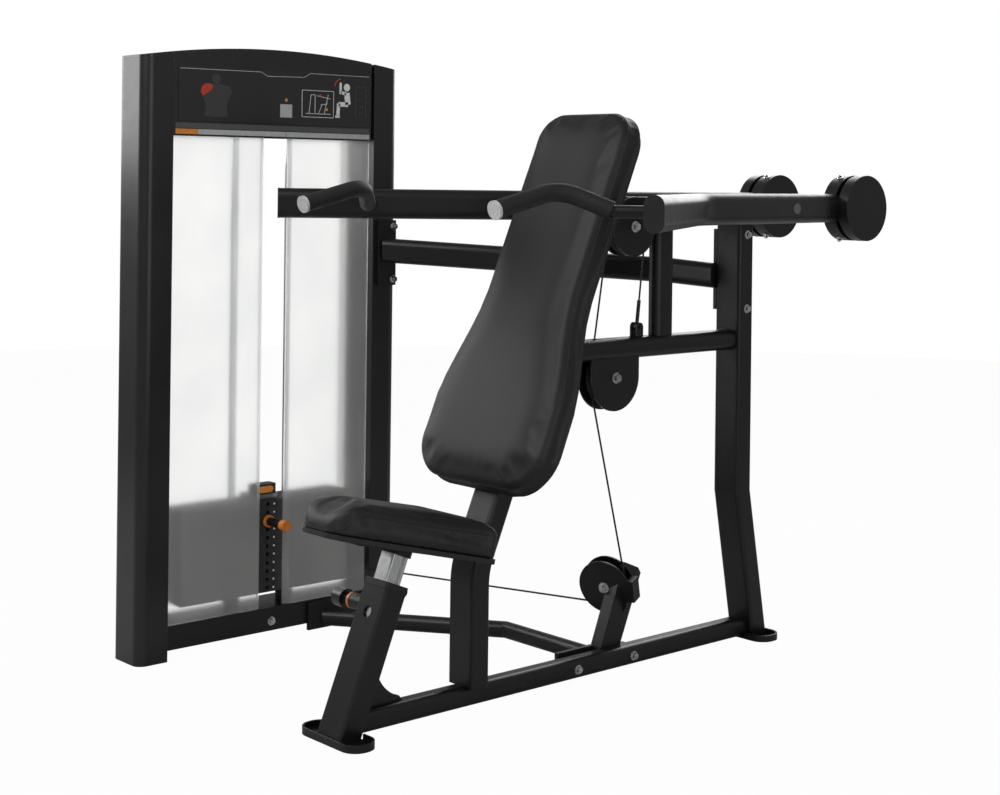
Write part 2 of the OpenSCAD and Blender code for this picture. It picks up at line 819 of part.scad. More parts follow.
// Leaning tube on the rail, with two guard plates joined by a spacer block on its tower side
module lower_pulley_bracket() {
    color("#1c1c1c") difference() {
        union() {
            difference() {
                in_low_pulley() for (s = [-1, 1])
                    translate([0, s * 17 + 2.5, 0]) rotate([90, 0, 0]) linear_extrude(5) low_guard();
                translate([-500, -400, 0]) cube([1000, 1000, 100]);
            }
            in_low_pulley() translate([-86, -19.5, -34]) cube([26, 39, 60]);
            translate([bracket_x0, 0, 0]) rotate([90, 0, 90]) linear_extrude(bracket_x1 - bracket_x0)
                polygon([[138, rail_z1 - 4], [212, rail_z1 - 4], [291, 240], [281, 256], [233, 276], [222, 268]]);
        }
        in_low_pulley() rotate([90, 0, 0]) cylinder(h = 120, r = pulley_pin_r + 0.1, center = true);
        in_low_pulley() rotate([90, 0, 0]) cylinder(h = 29, r = low_wrap + 12, center = true);
        for (s = [-1, 1])
            in_low_pulley() translate([0, s * 35, 0]) rotate([90, 0, 0]) cylinder(h = 31, r = 15.2, center = true);
        rail_solid();
    }
}

module lower_pulley() {
    color("#1a1a1a") in_low_pulley() rotate([90, 0, 0]) sheave(low_groove_r, 20, pulley_bore_r);
}

// Clevis on the upper tube, and the rod that holds the cable's end
module cable_anchor() {
    color("#2a2a2a") {
        for (s = [-1, 1]) translate([s * 11 - 2.5, anchor_y - 12, upper_z1]) cube([5, 24, anchor_h]);
        for (s = [-1, 1]) translate([s * 11, anchor_y, anchor_eye[1]]) disc_x(12, 5);
        translate([0, anchor_y, anchor_eye[1]]) disc_x(5, 36);
        translate([0, anchor_y, anchor_eye[1]]) disc_x(9, 17.2);
        bar([0, anchor_y, anchor_eye[1]], [0, anchor_end[0], anchor_end[1]], 5);
    }
}

// ---------- tubes to the tower ----------

// Straight flat-oval tube, w wide in plan and h tall, between two points
module link(p, q, w, h) {
    hull() for (e = [p, q]) translate(e)
        rotate([90, 0, atan2(q[1] - p[1], q[0] - p[0]) + 90])
            linear_extrude(1, center = true) flat_oval(w, h, $fn = 32);
}

// Tube from the tower's rear column to the rear upright, with its two bolting plates
module upper_cross_tube() {
    color("#2b2b2b") difference() {
        union() {
            link(upper_cross_start - [8, 6, 0], upper_cross_knee, 44, 72);
            link(upper_cross_knee, upper_cross_end + [8, 11, -1], 44, 72);
            translate([-57, upright_y - 26, 940]) cube([12, 52, 230]);
        }
        translate([-45, 500, 900]) cube([100, 320, 400]);
        translate([tower_x - 100, -300, 900]) cube([112, 600, 400]);
        for (z = [946 + 24, 1156 - 24]) translate([0, upright_y, z]) disc_x(5.2, 240);
    }
    color("#2b2b2b") difference() {
        translate([tower_x, -16, 988]) cube([12, 64, 192]);
        for (z = [1006, 1162]) translate([tower_x, 38, z]) disc_x(5.2, 60);
    }
}

// Flat tube from the tower's base to the main rail, with its two bolting plates
module lower_cross_tube() {
    color("#2b2b2b") difference() {
        union() {
            link(lower_cross_start - [8, 6, 0], lower_cross_knee, 40, lower_cross_h);
            link(lower_cross_knee + [0, 0, 0.4], [-34, 127, lower_cross_z], 40, lower_cross_h);
            translate([-38, 0, 11]) cube([12, 254, 56]);
            translate([tower_x - 5, -250, 12]) cube([15, 130, 78]);
        }
        translate([tower_x - 100, -500, 0]) cube([100, 600, 200]);
        translate([-60, 134, rail_z1 - 5]) cube([60, 200, 60]);
        for (y = [23, 231])
            translate([0, y, rail_bolt_z]) rotate([0, 90, 0]) cylinder(h = 140, r = 5.2, center = true);
    }
}

// Bolt through a pulley: a pin along X with a head at each end
module pulley_bolt(reach) {
    disc_x(pulley_pin_r, 2 * reach);
    for (s = [-1, 1]) translate([s * reach, 0, 0]) rotate([0, s * 90, 0]) bolt_head(11);
}

// Bolt heads that show on the fixed frame, and the bolts of its two pulleys
module frame_bolts() {
    color("#c4c6c9") {
        for (y = [23, 231]) {
            translate([rail_w / 2, y, rail_bolt_z]) rotate([0, 90, 0]) bolt_head(9);
            translate([-38, y, rail_bolt_z]) rotate([0, -90, 0]) bolt_head(9);
        }
        for (z = [946, 1156]) translate([upright_w / 2, upright_y, z]) rotate([0, 90, 0]) bolt_head(9);
        for (z = [946 + 24, 1156 - 24]) translate([-57, upright_y, z]) rotate([0, -90, 0]) bolt_head(9);
        for (z = [1006, 1162]) translate([tower_x + 12, 38, z]) rotate([0, 90, 0]) bolt_head(9);
        translate([tower_x, tower_mid_y, 57]) rotate([0, 90, 0]) bolt_head(9);
        translate([0, mid_pulley_y, mid_pulley_z]) pulley_bolt(27);
        in_low_pulley() rotate([0, 0, 90]) pulley_bolt(19.5);
    }
}

// ---------- tower ----------

// Column section: flat towards the panels, rounded on its outer side
module column_section(grow) {
    rounded_rect(tower_d - 2 * grow, column_w - 2 * grow, 28 - grow);
    translate([-(tower_d / 2 - grow), 0]) square([tower_d - 2 * grow, column_w / 2 - grow]);
}

module column(h) {
    difference() {
        linear_extrude(h) column_section(0);
        translate([0, 0, 6]) linear_extrude(h - 10) column_section(wall);
    }
}

module front_column() {
    color("#222222") translate([tower_mid_x, column_front_y + column_w / 2, 0]) column(column_h);
}

module rear_column() {
    color("#222222") translate([tower_mid_x, column_rear_y + column_w / 2, 0]) mirror([0, 1, 0]) column(column_h);
}

module under_arch() {
    intersection() {
        children();
        translate([tower_mid_x, tower_mid_y + 6, arch_top - arch_r]) rotate([0, 90, 0])
            cylinder(h = 400, r = arch_r, center = true, $fn = 1440);
    }
}

module column_caps() {
    color("#191919") under_arch() {
        translate([tower_mid_x, column_front_y + column_w / 2, column_h]) linear_extrude(60) column_section(0);
        translate([tower_mid_x, column_rear_y + column_w / 2, column_h]) mirror([0, 1, 0])
            linear_extrude(60) column_section(0);
    }
}

// Sheave yoke: two ears and a pin around a tower pulley, in its own upright plane
module yoke(drop_len) {
    for (s = [-1, 1]) translate([0, s * 10, 0]) rotate([90, 0, 0]) linear_extrude(4, center = true) {
        circle(15);
        translate([-15, -drop_len]) square([30, drop_len]);
    }
    rotate([90, 0, 0]) cylinder(h = 24, r = pulley_pin_r, center = true);
}

module base_beam() {
    color("#222222") {
        difference() {
            translate([tower_x - tower_d + 2, panel_y0, 30]) cube([tower_d - 2, column_rear_y - panel_y0, 65]);
            translate([tower_x - tower_d + 6, panel_y0 - 1, 20]) cube([tower_d - 10, 800, 69]);
        }
        translate([foot_pulley[0], foot_pulley[1], foot_pulley_z]) rotate([0, 0, run_angle])
            yoke(foot_pulley_z - 95);
    }
}

// Steel crosspiece under the hood: it holds the guide rods and the two top pulleys
module top_beam() {
    color("#222222") {
        difference() {
            translate([stack_x - 45, panel_y0 + 5.5, top_beam_z]) cube([90, column_rear_y - panel_y0 - 5.5, 10]);
            for (s = [-1, 1]) translate([stack_x, tower_mid_y + s * rod_gap, 1400]) cylinder(h = 100, r = 9.05);
            for (p = [rise, drop]) translate([p[0], p[1], 1400]) cylinder(h = 100, r = 12);
        }
        for (p = [top_rear, top_front])
            translate([p[0], p[1], tower_pulley_z]) rotate([0, 0, top_angle])
                yoke(tower_pulley_z - top_beam_z - 10);
    }
}

// Hood between the columns: front, back and arched top, open below
module header_cover() {
    color("#1f1f1f") difference() {
        under_arch() translate([tower_x - tower_d + 3, panel_y0, shield_z1 + 3])
            cube([tower_d - 3, panel_y1 - panel_y0, 300]);
        translate([0, 0, -5]) under_arch()
            translate([tower_x - tower_d + 8, panel_y0 + 5, 1300]) cube([tower_d - 13, panel_y1 - panel_y0 - 10, 400]);
        translate([stack_x - 45.5, panel_y1 - 20, top_beam_z - 0.5]) cube([91, 40, 11]);
    }
}

module placard() {
    color("#2c2c2c") translate([tower_x, panel_y0 + 14, 1452]) cube([1.5, panel_y1 - panel_y0 - 22, 150]);
}

// Frosted front shields, each with a rolled edge at the slot
module front_shields() {
    color("#d8dadb", 0.6) {
        shield_front(panel_y0 + 0.5, slot_y0, 1);
        shield_front(slot_y1, panel_y1 - 6, -1);
    }
}

module shield_front(y0, y1, side) {
    roll = 16;
    edge = side > 0 ? y1 : y0;
    translate([0, 0, shield_z0]) linear_extrude(shield_z1 - shield_z0) {
        translate([tower_x - shield_t, side > 0 ? y0 : y0 + roll]) square([shield_t, y1 - y0 - roll]);
        translate([tower_x - roll, edge - side * roll]) intersection() {
            difference() {
                circle(roll);
                circle(roll - shield_t);
            }
            translate([0, side > 0 ? 0 : -roll]) square(roll);
        }
    }
}

module guide_rods() {
    color("#d0d2d4") for (s = [-1, 1])
        translate([stack_x, tower_mid_y + s * rod_gap, 95]) cylinder(h = 1365, r = 9);
}

module stack_bumpers() {
    color("#141414") for (s = [-1, 1]) translate([stack_x, tower_mid_y + s * rod_gap, 95]) difference() {
        cylinder(h = stack_z0 - 95, r = 24);
        translate([0, 0, -1]) cylinder(h = 100, r = 9.05);
    }
}

module weight_plate(k) {
    translate([stack_x, tower_mid_y, stack_z0 + k * plate_pitch]) difference() {
        linear_extrude(plate_t) rounded_rect(100, 560, 6);
        for (s = [-1, 1]) translate([0, s * rod_gap, -1]) cylinder(h = 40, r = 9.8);
        translate([0, 0, -1]) cylinder(h = 40, r = 13);
        translate([-1, 0, plate_t / 2]) rotate([0, 90, 0]) cylinder(h = 80, r = 5.5);
    }
}

module plates_resting() {
    color("#333333") for (k = [0 : pin_row - 1]) weight_plate(k);
}

module plates_lifted() {
    color("#3a3a3a") for (k = [pin_row : plate_count - 1]) weight_plate(k);
}

// Rod that hangs through the plates; the selector pin goes through one of its holes
module selector_stem() {
    color("#b0b3b6") difference() {
        union() {
            translate([stack_x, tower_mid_y, stack_z0 + 2]) cylinder(h = stack_top - stack_z0 + 40, r = 12.5);
            translate([stack_x, tower_mid_y, stack_top]) linear_extrude(14) rounded_rect(70, 90, 6);
        }
        for (k = [0 : plate_count - 1])
            translate([stack_x, tower_mid_y, stack_z0 + k * plate_pitch + plate_t / 2]) disc_x(5.5, 60);
    }
}

module stack_label() {
    color("#e79a34") difference() {
        translate([stack_x + 18, tower_mid_y, stack_top + 14]) linear_extrude(28) rounded_rect(40, 74, 8);
        translate([stack_x, tower_mid_y, stack_top]) cylinder(h = 100, r = 12.6);
    }
}

module selector_pin() {
    color("#e08a2a") translate([stack_x, tower_mid_y, pin_z]) rotate([0, 90, 0]) {
        translate([0, 0, -11]) cylinder(h = 63, r = 5.4);
        translate([0, 0, 52]) cylinder(h = 8, r = 17);
        translate([0, 0, 60]) cylinder(h = 62, r = 12);
        translate([0, 0, 122]) cylinder(h = 22, r = 15);
    }
}

// One of the tower's narrow pulleys, upright, turning in the plane at angle a
module tower_pulley(p, z, a) {
    translate([p[0], p[1], z]) rotate([0, 0, a]) rotate([90, 0, 0]) sheave(small_groove_r, 15, pulley_bore_r);
}

module tower_foot_pulley() {
    color("#1a1a1a") tower_pulley(foot_pulley, foot_pulley_z, run_angle);
}

module tower_top_pulley_rear() {
    color("#1a1a1a") tower_pulley(top_rear, tower_pulley_z, top_angle);
}

module tower_top_pulley_front() {
    color("#1a1a1a") tower_pulley(top_front, tower_pulley_z, top_angle);
}

// ---------- cables ----------

// Straight run of cable, a hair short of the arcs it leads into
module rope_run(p, q) {
    gap = 0.15 * unit(q - p);
    bar(p + gap, q - gap, rope);
}

// Runs that stay in place: lower pulley, level run, up the tower and over its top pulleys
module cable_frame() {
    color("#111111") {
        rope_run(mid_point, low_point);
        in_low_pulley() rotate([90, 0, 0]) rope_arc(low_wrap, low_touch, 270);
        rope_run([run_start[0], run_start[1], run_z], [foot_pulley[0], foot_pulley[1], run_z]);
        translate([foot_pulley[0], foot_pulley[1], foot_pulley_z]) rotate([90, 0, run_angle])
            rope_arc(small_wrap, -90, 0);
        rope_run([rise[0], rise[1], foot_pulley_z], [rise[0], rise[1], tower_pulley_z]);
        translate([top_rear[0], top_rear[1], tower_pulley_z]) rotate([90, 0, top_angle])
            rope_arc(small_wrap, 90, 180);
        rope_run(
            [top_rear[0], top_rear[1], tower_pulley_z + small_wrap],
            [top_front[0], top_front[1], tower_pulley_z + small_wrap]
        );
        translate([top_front[0], top_front[1], tower_pulley_z]) rotate([90, 0, top_angle])
            rope_arc(small_wrap, 0, 90);
    }
}

// Runs that lengthen as the arms rise: over the middle pulley, up to the arm pulley and down to the clevis
module cable_arm() {
    arm_c = [0, arm_pulley_y, arm_pulley_z];
    mid_c = [0, mid_pulley_y, mid_pulley_z];
    color("#111111") {
        translate(mid_c) rotate([90, 0, 90]) rope_arc(big_wrap, span_angle, mid_touch + 360);
        rope_run(mid_c + big_wrap * [0, cos(span_angle), sin(span_angle)],
            arm_c + big_wrap * [0, cos(span_angle), sin(span_angle)]);
        translate(arm_c) rotate([90, 0, 90]) rope_arc(big_wrap, anchor_touch, span_angle);
        rope_run([0, anchor_end[0], anchor_end[1]], [0, anchor_meet[0], anchor_meet[1]]);
    }
}

// Run between the stack and the front top pulley, which shortens as the stack rises
module cable_stack() {
    color("#111111") rope_run([drop[0], drop[1], stack_top + 42], [drop[0], drop[1], tower_pulley_z]);
}

placed() main_rail();
placed() foot_plates();
placed() seat_tube();
placed() seat_tube_collar();
placed() seat_slider();
placed() seat_bracket();
placed() seat_board();
placed() seat_pad();
placed() seat_pin_barrel();
placed() seat_pin();
placed() seat_post();
placed() back_brackets();
placed() back_board();
placed() back_pad();
placed() upper_tube();
placed() stop_post();
placed() stop_bumper();
placed() rear_upright();
placed() pivot_bearings();
placed() pivot_axle();
placed() press_arms();
placed() arm_end_caps();
placed() handle_left();
placed() handle_right();
placed() hand_grips();
placed() grip_caps();
placed() counterweights();
placed() counterweight_bolts();
placed() arm_pulley();
placed() arm_pulley_bolt();
placed() mid_pulley_guards();
placed() mid_pulley();
placed() lower_pulley_bracket();
placed() lower_pulley();
placed() cable_anchor();
placed() upper_cross_tube();
placed() lower_cross_tube();
placed() frame_bolts();
placed() front_column();
placed() rear_column();
placed() column_caps();
placed() base_beam();
placed() top_beam();
placed() header_cover();
placed() placard();
placed() front_shields();
placed() guide_rods();
placed() stack_bumpers();
placed() plates_resting();
placed() plates_lifted();
placed() selector_stem();
placed() stack_label();
placed() selector_pin();
placed() tower_foot_pulley();
placed() tower_top_pulley_rear();
placed() tower_top_pulley_front();
placed() cable_frame();
placed() cable_arm();
placed() cable_stack();
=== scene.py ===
"""Looks of the selectorised shoulder press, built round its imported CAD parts."""

import json
import math

import bmesh
import bpy
import numpy as np
from mathutils import Matrix, Vector
from mathutils.bvhtree import BVHTree
from mathutils.kdtree import KDTree


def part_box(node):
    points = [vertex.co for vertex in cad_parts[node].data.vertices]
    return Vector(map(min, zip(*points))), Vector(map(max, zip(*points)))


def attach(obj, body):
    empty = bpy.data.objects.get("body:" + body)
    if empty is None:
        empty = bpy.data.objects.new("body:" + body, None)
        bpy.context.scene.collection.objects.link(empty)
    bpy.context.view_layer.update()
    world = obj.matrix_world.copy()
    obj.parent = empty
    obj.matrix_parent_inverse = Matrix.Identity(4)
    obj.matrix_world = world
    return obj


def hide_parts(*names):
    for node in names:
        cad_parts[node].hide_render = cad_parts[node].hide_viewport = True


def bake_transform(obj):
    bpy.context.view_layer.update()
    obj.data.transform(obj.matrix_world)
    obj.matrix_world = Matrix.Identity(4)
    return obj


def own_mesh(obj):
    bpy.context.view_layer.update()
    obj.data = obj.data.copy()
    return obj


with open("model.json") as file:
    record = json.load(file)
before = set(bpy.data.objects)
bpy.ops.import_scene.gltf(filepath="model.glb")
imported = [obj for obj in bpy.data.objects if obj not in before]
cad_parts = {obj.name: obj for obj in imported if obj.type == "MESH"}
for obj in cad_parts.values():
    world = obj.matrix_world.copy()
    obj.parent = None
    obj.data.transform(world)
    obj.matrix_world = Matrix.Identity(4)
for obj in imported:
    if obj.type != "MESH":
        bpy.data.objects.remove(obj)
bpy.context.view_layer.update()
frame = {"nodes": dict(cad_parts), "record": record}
nodes = frame["nodes"]
slot_of = {s["node"]: s["material_slot"] for s in frame["record"]["subparts"]}

MM = 0.001


# ---------------------------------------------------------------- materials

class Shader:
    """Small helper round a node material: coordinates, noise, ramps and the main shader."""

    def __init__(self, name):
        self.mat = bpy.data.materials.new(name)
        self.mat.use_nodes = True
        self.tree = self.mat.node_tree
        self.tree.nodes.clear()
        self.out = self.add("ShaderNodeOutputMaterial")
        self.bsdf = self.add("ShaderNodeBsdfPrincipled")
        self.link(self.bsdf, "BSDF", self.out, "Surface")
        self.coord = self.add("ShaderNodeTexCoord")

    def add(self, kind, **values):
        node = self.tree.nodes.new(kind)
        for key, value in values.items():
            setattr(node, key, value)
        return node

    def link(self, a, out, b, inp):
        self.tree.links.new(a.outputs[out], b.inputs[inp])

    def noise(self, scale, detail=3.0, stretch=None, rough=0.55):
        node = self.add("ShaderNodeTexNoise")
        node.inputs["Scale"].default_value = scale
        node.inputs["Detail"].default_value = detail
        node.inputs["Roughness"].default_value = rough
        self.place(node, stretch)
        return node

    def cells(self, scale, feature="F1", stretch=None):
        node = self.add("ShaderNodeTexVoronoi", feature=feature)
        node.inputs["Scale"].default_value = scale
        self.place(node, stretch)
        return node

    def place(self, node, stretch):
        if stretch is None:
            self.link(self.coord, "Object", node, "Vector")
            return
        mapping = self.add("ShaderNodeMapping")
        mapping.inputs["Scale"].default_value = stretch
        self.link(self.coord, "Object", mapping, "Vector")
        self.link(mapping, "Vector", node, "Vector")

    def span(self, source, out, low, high, lo=0.35, hi=0.65):
        """Maps source from lo..hi to low..high."""
        node = self.add("ShaderNodeMapRange")
        node.inputs["From Min"].default_value = lo
        node.inputs["From Max"].default_value = hi
        node.inputs["To Min"].default_value = low
        node.inputs["To Max"].default_value = high
        self.link(source, out, node, "Value")
        return node

    def mix(self, factor, out, first, second):
        node = self.add("ShaderNodeMix", data_type="RGBA")
        node.inputs["A"].default_value = (*first, 1)
        node.inputs["B"].default_value = (*second, 1)
        self.link(factor, out, node, "Factor")
        return node

    def bump(self, source, out, distance, strength=1.0, after=None):
        node = self.add("ShaderNodeBump")
        node.inputs["Distance"].default_value = distance
        node.inputs["Strength"].default_value = strength
        self.link(source, out, node, "Height")
        if after is not None:
            self.link(after, "Normal", node, "Normal")
        return node

    def rounded(self, radius):
        node = self.add("ShaderNodeBevel", samples=4)
        node.inputs["Radius"].default_value = radius
        return node

    def edge_mask(self, bevel, amount):
        """One along edges and zero on flat faces, broken up by noise."""
        geometry = self.add("ShaderNodeNewGeometry")
        dot = self.add("ShaderNodeVectorMath", operation="DOT_PRODUCT")
        self.link(bevel, "Normal", dot, 0)
        self.link(geometry, "Normal", dot, 1)
        edge = self.span(dot, "Value", 1.0, 0.0, 0.90, 0.995)
        patch = self.span(self.noise(90, 4), "Fac", 0.0, amount, 0.45, 0.7)
        both = self.add("ShaderNodeMath", operation="MULTIPLY", use_clamp=True)
        self.link(edge, "Result", both, 0)
        self.link(patch, "Result", both, 1)
        return both

    def set(self, **values):
        for key, value in values.items():
            self.bsdf.inputs[key.replace("_", " ")].default_value = value


def painted(name, base, rough, peel=0.00012, radius=0.0016, wear=0.5, coat=0.0):
    """Powder coat: orange-peel bump, cloudy roughness, edges rounded and slightly rubbed."""
    s = Shader(name)
    bevel = s.rounded(radius)
    clouds = s.noise(5, 4)
    lighter = tuple(min(1.0, c * 1.15 + 0.0005) for c in base)
    colour = s.mix(s.span(clouds, "Fac", 0.0, 1.0), "Result", base, lighter)
    worn = s.add("ShaderNodeMix", data_type="RGBA")
    s.link(s.edge_mask(bevel, wear), "Value", worn, "Factor")
    s.link(colour, "Result", worn, "A")
    worn.inputs["B"].default_value = (*[min(1.0, c * 4 + 0.03) for c in base], 1)
    s.link(worn, "Result", s.bsdf, "Base Color")
    s.link(s.span(s.noise(22, 5), "Fac", rough - 0.02, rough + 0.03), "Result", s.bsdf, "Roughness")
    peel_bump = s.bump(s.noise(520, 2), "Fac", peel, 0.6, bevel)
    s.link(peel_bump, "Normal", s.bsdf, "Normal")
    s.set(Coat_Weight=coat, Coat_Roughness=0.2)
    return s.mat


def metal(name, base, rough, stretch, bump=0.00003, radius=0.0006, shine=1.0):
    """Metal with a drawn or turned grain along one axis."""
    s = Shader(name)
    bevel = s.rounded(radius)
    grain = s.noise(60, 4, stretch)
    darker = tuple(c * 0.82 for c in base)
    s.link(s.mix(s.span(grain, "Fac", 0, 1), "Result", darker, base), "Result", s.bsdf, "Base Color")
    s.link(s.span(grain, "Fac", rough * 0.8, rough * 1.25), "Result", s.bsdf, "Roughness")
    s.link(s.bump(grain, "Fac", bump, 0.5, bevel), "Normal", s.bsdf, "Normal")
    s.set(Metallic=shine)
    return s.mat


def plastic(name, base, rough, grain=0.00006, grain_scale=900, tint=1.15, radius=0.0008, coat=0.0):
    """Moulded plastic or rubber: fine eroded texture with slow changes of tone."""
    s = Shader(name)
    bevel = s.rounded(radius)
    lighter = tuple(min(1.0, c * tint + 0.0005) for c in base)
    s.link(s.mix(s.span(s.noise(9, 3), "Fac", 0, 1), "Result", base, lighter), "Result", s.bsdf, "Base Color")
    s.link(s.span(s.noise(35, 4), "Fac", rough - 0.05, rough + 0.05), "Result", s.bsdf, "Roughness")
    s.link(s.bump(s.cells(grain_scale), "Distance", grain, 0.6, bevel), "Normal", s.bsdf, "Normal")
    s.set(Coat_Weight=coat, Coat_Roughness=0.12)
    return s.mat


def vinyl(name, base=(0.0075, 0.0075, 0.008)):
    """Upholstery vinyl: pebbled leather grain with fine creases and a soft sheen."""
    s = Shader(name)
    pebble = s.cells(520)
    crease = s.cells(210, "DISTANCE_TO_EDGE")
    slow = s.noise(7, 4)
    lighter = tuple(c * 1.25 + 0.0005 for c in base)
    s.link(s.mix(s.span(slow, "Fac", 0, 1), "Result", base, lighter), "Result", s.bsdf, "Base Color")
    s.link(s.span(pebble, "Distance", 0.40, 0.52, 0.1, 0.6), "Result", s.bsdf, "Roughness")
    fine = s.bump(pebble, "Distance", 0.00022, 0.55)
    fine.invert = True
    lines = s.bump(s.span(crease, "Distance", 0, 1, 0.0, 0.06), "Result", 0.00012, 0.35, fine)
    s.link(lines, "Normal", s.bsdf, "Normal")
    s.set(Sheen_Weight=0.03, Sheen_Roughness=0.5)
    s.bsdf.inputs["Sheen Tint"].default_value = (0.8, 0.8, 0.85, 1)
    return s.mat


def frosted(name):
    """Frosted sheet: milky, speckled, and clear to shadow rays so that the tower isn't black inside."""
    s = Shader(name)
    speckle = s.noise(420, 3, rough=0.75)
    broad = s.noise(6, 3)
    s.link(s.mix(s.span(broad, "Fac", 0, 1), "Result", (0.90, 0.91, 0.90), (0.97, 0.97, 0.96)), "Result",
           s.bsdf, "Base Color")
    s.link(s.span(speckle, "Fac", 0.34, 0.56), "Result", s.bsdf, "Roughness")
    s.link(s.bump(speckle, "Fac", 0.0006, 0.8), "Normal", s.bsdf, "Normal")
    s.set(Transmission_Weight=0.92, IOR=1.12, Specular_IOR_Level=0.3)
    clear = s.add("ShaderNodeBsdfTransparent")
    clear.inputs["Color"].default_value = (0.86, 0.87, 0.86, 1)
    path = s.add("ShaderNodeLightPath")
    either = s.add("ShaderNodeMixShader")
    s.link(path, "Is Shadow Ray", either, "Fac")
    s.tree.links.new(s.bsdf.outputs["BSDF"], either.inputs[1])
    s.tree.links.new(clear.outputs["BSDF"], either.inputs[2])
    s.link(either, "Shader", s.out, "Surface")
    return s.mat


def banded(name, axis, steps, rough=0.32):
    """Moulded plastic in colours that change along an axis: steps are (distance along the axis, colour)."""
    s = Shader(name)
    bevel = s.rounded(0.0015)
    along = s.add("ShaderNodeVectorMath", operation="DOT_PRODUCT")
    s.link(s.coord, "Object", along, 0)
    along.inputs[1].default_value = axis
    source, out = None, None
    for distance, colour in steps:
        layer = s.add("ShaderNodeMix", data_type="RGBA")
        layer.inputs["B"].default_value = (*colour, 1)
        if source is None:
            layer.inputs["A"].default_value = (*colour, 1)
        else:
            s.link(source, out, layer, "A")
        reached = s.add("ShaderNodeMath", operation="GREATER_THAN")
        s.link(along, "Value", reached, 0)
        reached.inputs[1].default_value = distance
        s.link(reached, "Value", layer, "Factor")
        source, out = layer, "Result"
    tone = s.add("ShaderNodeMix", data_type="RGBA", blend_type="MULTIPLY")
    s.link(source, out, tone, "A")
    tone.inputs["B"].default_value = (0.8, 0.8, 0.8, 1)
    s.link(s.span(s.noise(40, 3), "Fac", 0, 1), "Result", tone, "Factor")
    s.link(tone, "Result", s.bsdf, "Base Color")
    s.link(s.span(s.noise(70, 3), "Fac", rough - 0.05, rough + 0.05), "Result", s.bsdf, "Roughness")
    s.link(s.bump(s.cells(1000), "Distance", 0.00004, 0.5, bevel), "Normal", s.bsdf, "Normal")
    s.set(Coat_Weight=0.3, Coat_Roughness=0.15)
    return s.mat


def board(name):
    """Dark stained plywood edge and back."""
    s = Shader(name)
    ply = s.add("ShaderNodeTexWave", wave_type="BANDS", bands_direction="Z")
    ply.inputs["Scale"].default_value = 90
    ply.inputs["Distortion"].default_value = 3
    s.link(s.coord, "Object", ply, "Vector")
    s.link(s.mix(ply, "Fac", (0.020, 0.016, 0.013), (0.045, 0.034, 0.026)), "Result", s.bsdf, "Base Color")
    s.link(s.bump(ply, "Fac", 0.0002, 0.5), "Normal", s.bsdf, "Normal")
    s.set(Roughness=0.62)
    return s.mat


def printed(name, base, rough=0.32, emit=0.0):
    """Printed ink on the instruction panel, with a trace of mottle."""
    s = Shader(name)
    dim = tuple(c * 0.86 for c in base)
    s.link(s.mix(s.span(s.noise(160, 3), "Fac", 0, 1), "Result", dim, base), "Result", s.bsdf, "Base Color")
    s.link(s.span(s.noise(60, 2), "Fac", rough - 0.04, rough + 0.06), "Result", s.bsdf, "Roughness")
    if emit:
        s.bsdf.inputs["Emission Color"].default_value = (*base, 1)
        s.set(Emission_Strength=emit)
    return s.mat


BLACK = (0.0065, 0.0065, 0.007)
PLASTIC_BLACK = (0.006, 0.006, 0.0065)
ORANGE = (0.80, 0.24, 0.02)
SLOT_LOOKS = {
    "frame_paint": painted("powder_coat", BLACK, 0.34),
    "black_plastic": plastic("black_nylon", (0.010, 0.010, 0.0105), 0.42),
    "aluminium": metal("aluminium", (0.80, 0.81, 0.82), 0.22, (8, 8, 0.4)),
    "board": board("stained_ply"),
    "vinyl": vinyl("vinyl"),
    "zinc_steel": metal("zinc_steel", (0.30, 0.30, 0.31), 0.34, (3, 3, 3)),
    "signal_plastic": plastic("orange_plastic", (0.72, 0.26, 0.03), 0.30, coat=0.3),
    "rubber": plastic("rubber", (0.013, 0.013, 0.013), 0.60, 0.00010, 700),
    "chrome": metal("chrome", (0.75, 0.76, 0.78), 0.10, (2, 2, 2)),
    "placard_print": plastic("panel_black", (0.012, 0.012, 0.013), 0.22, 0.00002, 1200, coat=0.5),
    "frosted_sheet": frosted("frosted_sheet"),
    "plate_paint": painted("plate_paint", (0.018, 0.018, 0.018), 0.5, wear=0.9),
    "cable_jacket": plastic("cable_jacket", (0.008, 0.008, 0.008), 0.3),
}
column_paint = painted("column_paint", (0.0125, 0.0125, 0.013), 0.30,
                       peel=0.00006, radius=0.002, wear=0.2, coat=0.15)
hood_plastic = plastic("hood_plastic", (0.012, 0.012, 0.0125), 0.30, 0.00003, 1100, radius=0.002, coat=0.25)
grip_end = metal("grip_end", (0.95, 0.95, 0.95), 0.22, (3, 3, 3), shine=0.4)
pin_lo, pin_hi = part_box("selector_pin")
pin_look = banded("selector_pin_look", (1, 0, 0), [
    (pin_lo.x, (0.45, 0.45, 0.46)),
    (pin_hi.x - 93 * MM, ORANGE),
    (pin_hi.x - 84 * MM, PLASTIC_BLACK),
    (pin_hi.x - 22.5 * MM, ORANGE),
])
knob_lo, knob_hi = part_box("seat_pin")
knob_look = banded("seat_pin_look", (-1, 0, 0), [
    (-knob_hi.x, (0.35, 0.35, 0.36)),
    (-knob_lo.x - 64 * MM, ORANGE),
    (-knob_lo.x - 56 * MM, PLASTIC_BLACK),
])
NODE_LOOKS = {
    "selector_pin": pin_look,
    "seat_pin": knob_look,
    "seat_pin_barrel": SLOT_LOOKS["black_plastic"],
    "stack_label": SLOT_LOOKS["black_plastic"],
    "cable_anchor": painted("anchor_paint", BLACK, 0.4),
    "front_column": column_paint,
    "rear_column": column_paint,
    "column_caps": hood_plastic,
    "header_cover": hood_plastic,
    "grip_caps": grip_end,
    "selector_stem": SLOT_LOOKS["zinc_steel"],
}

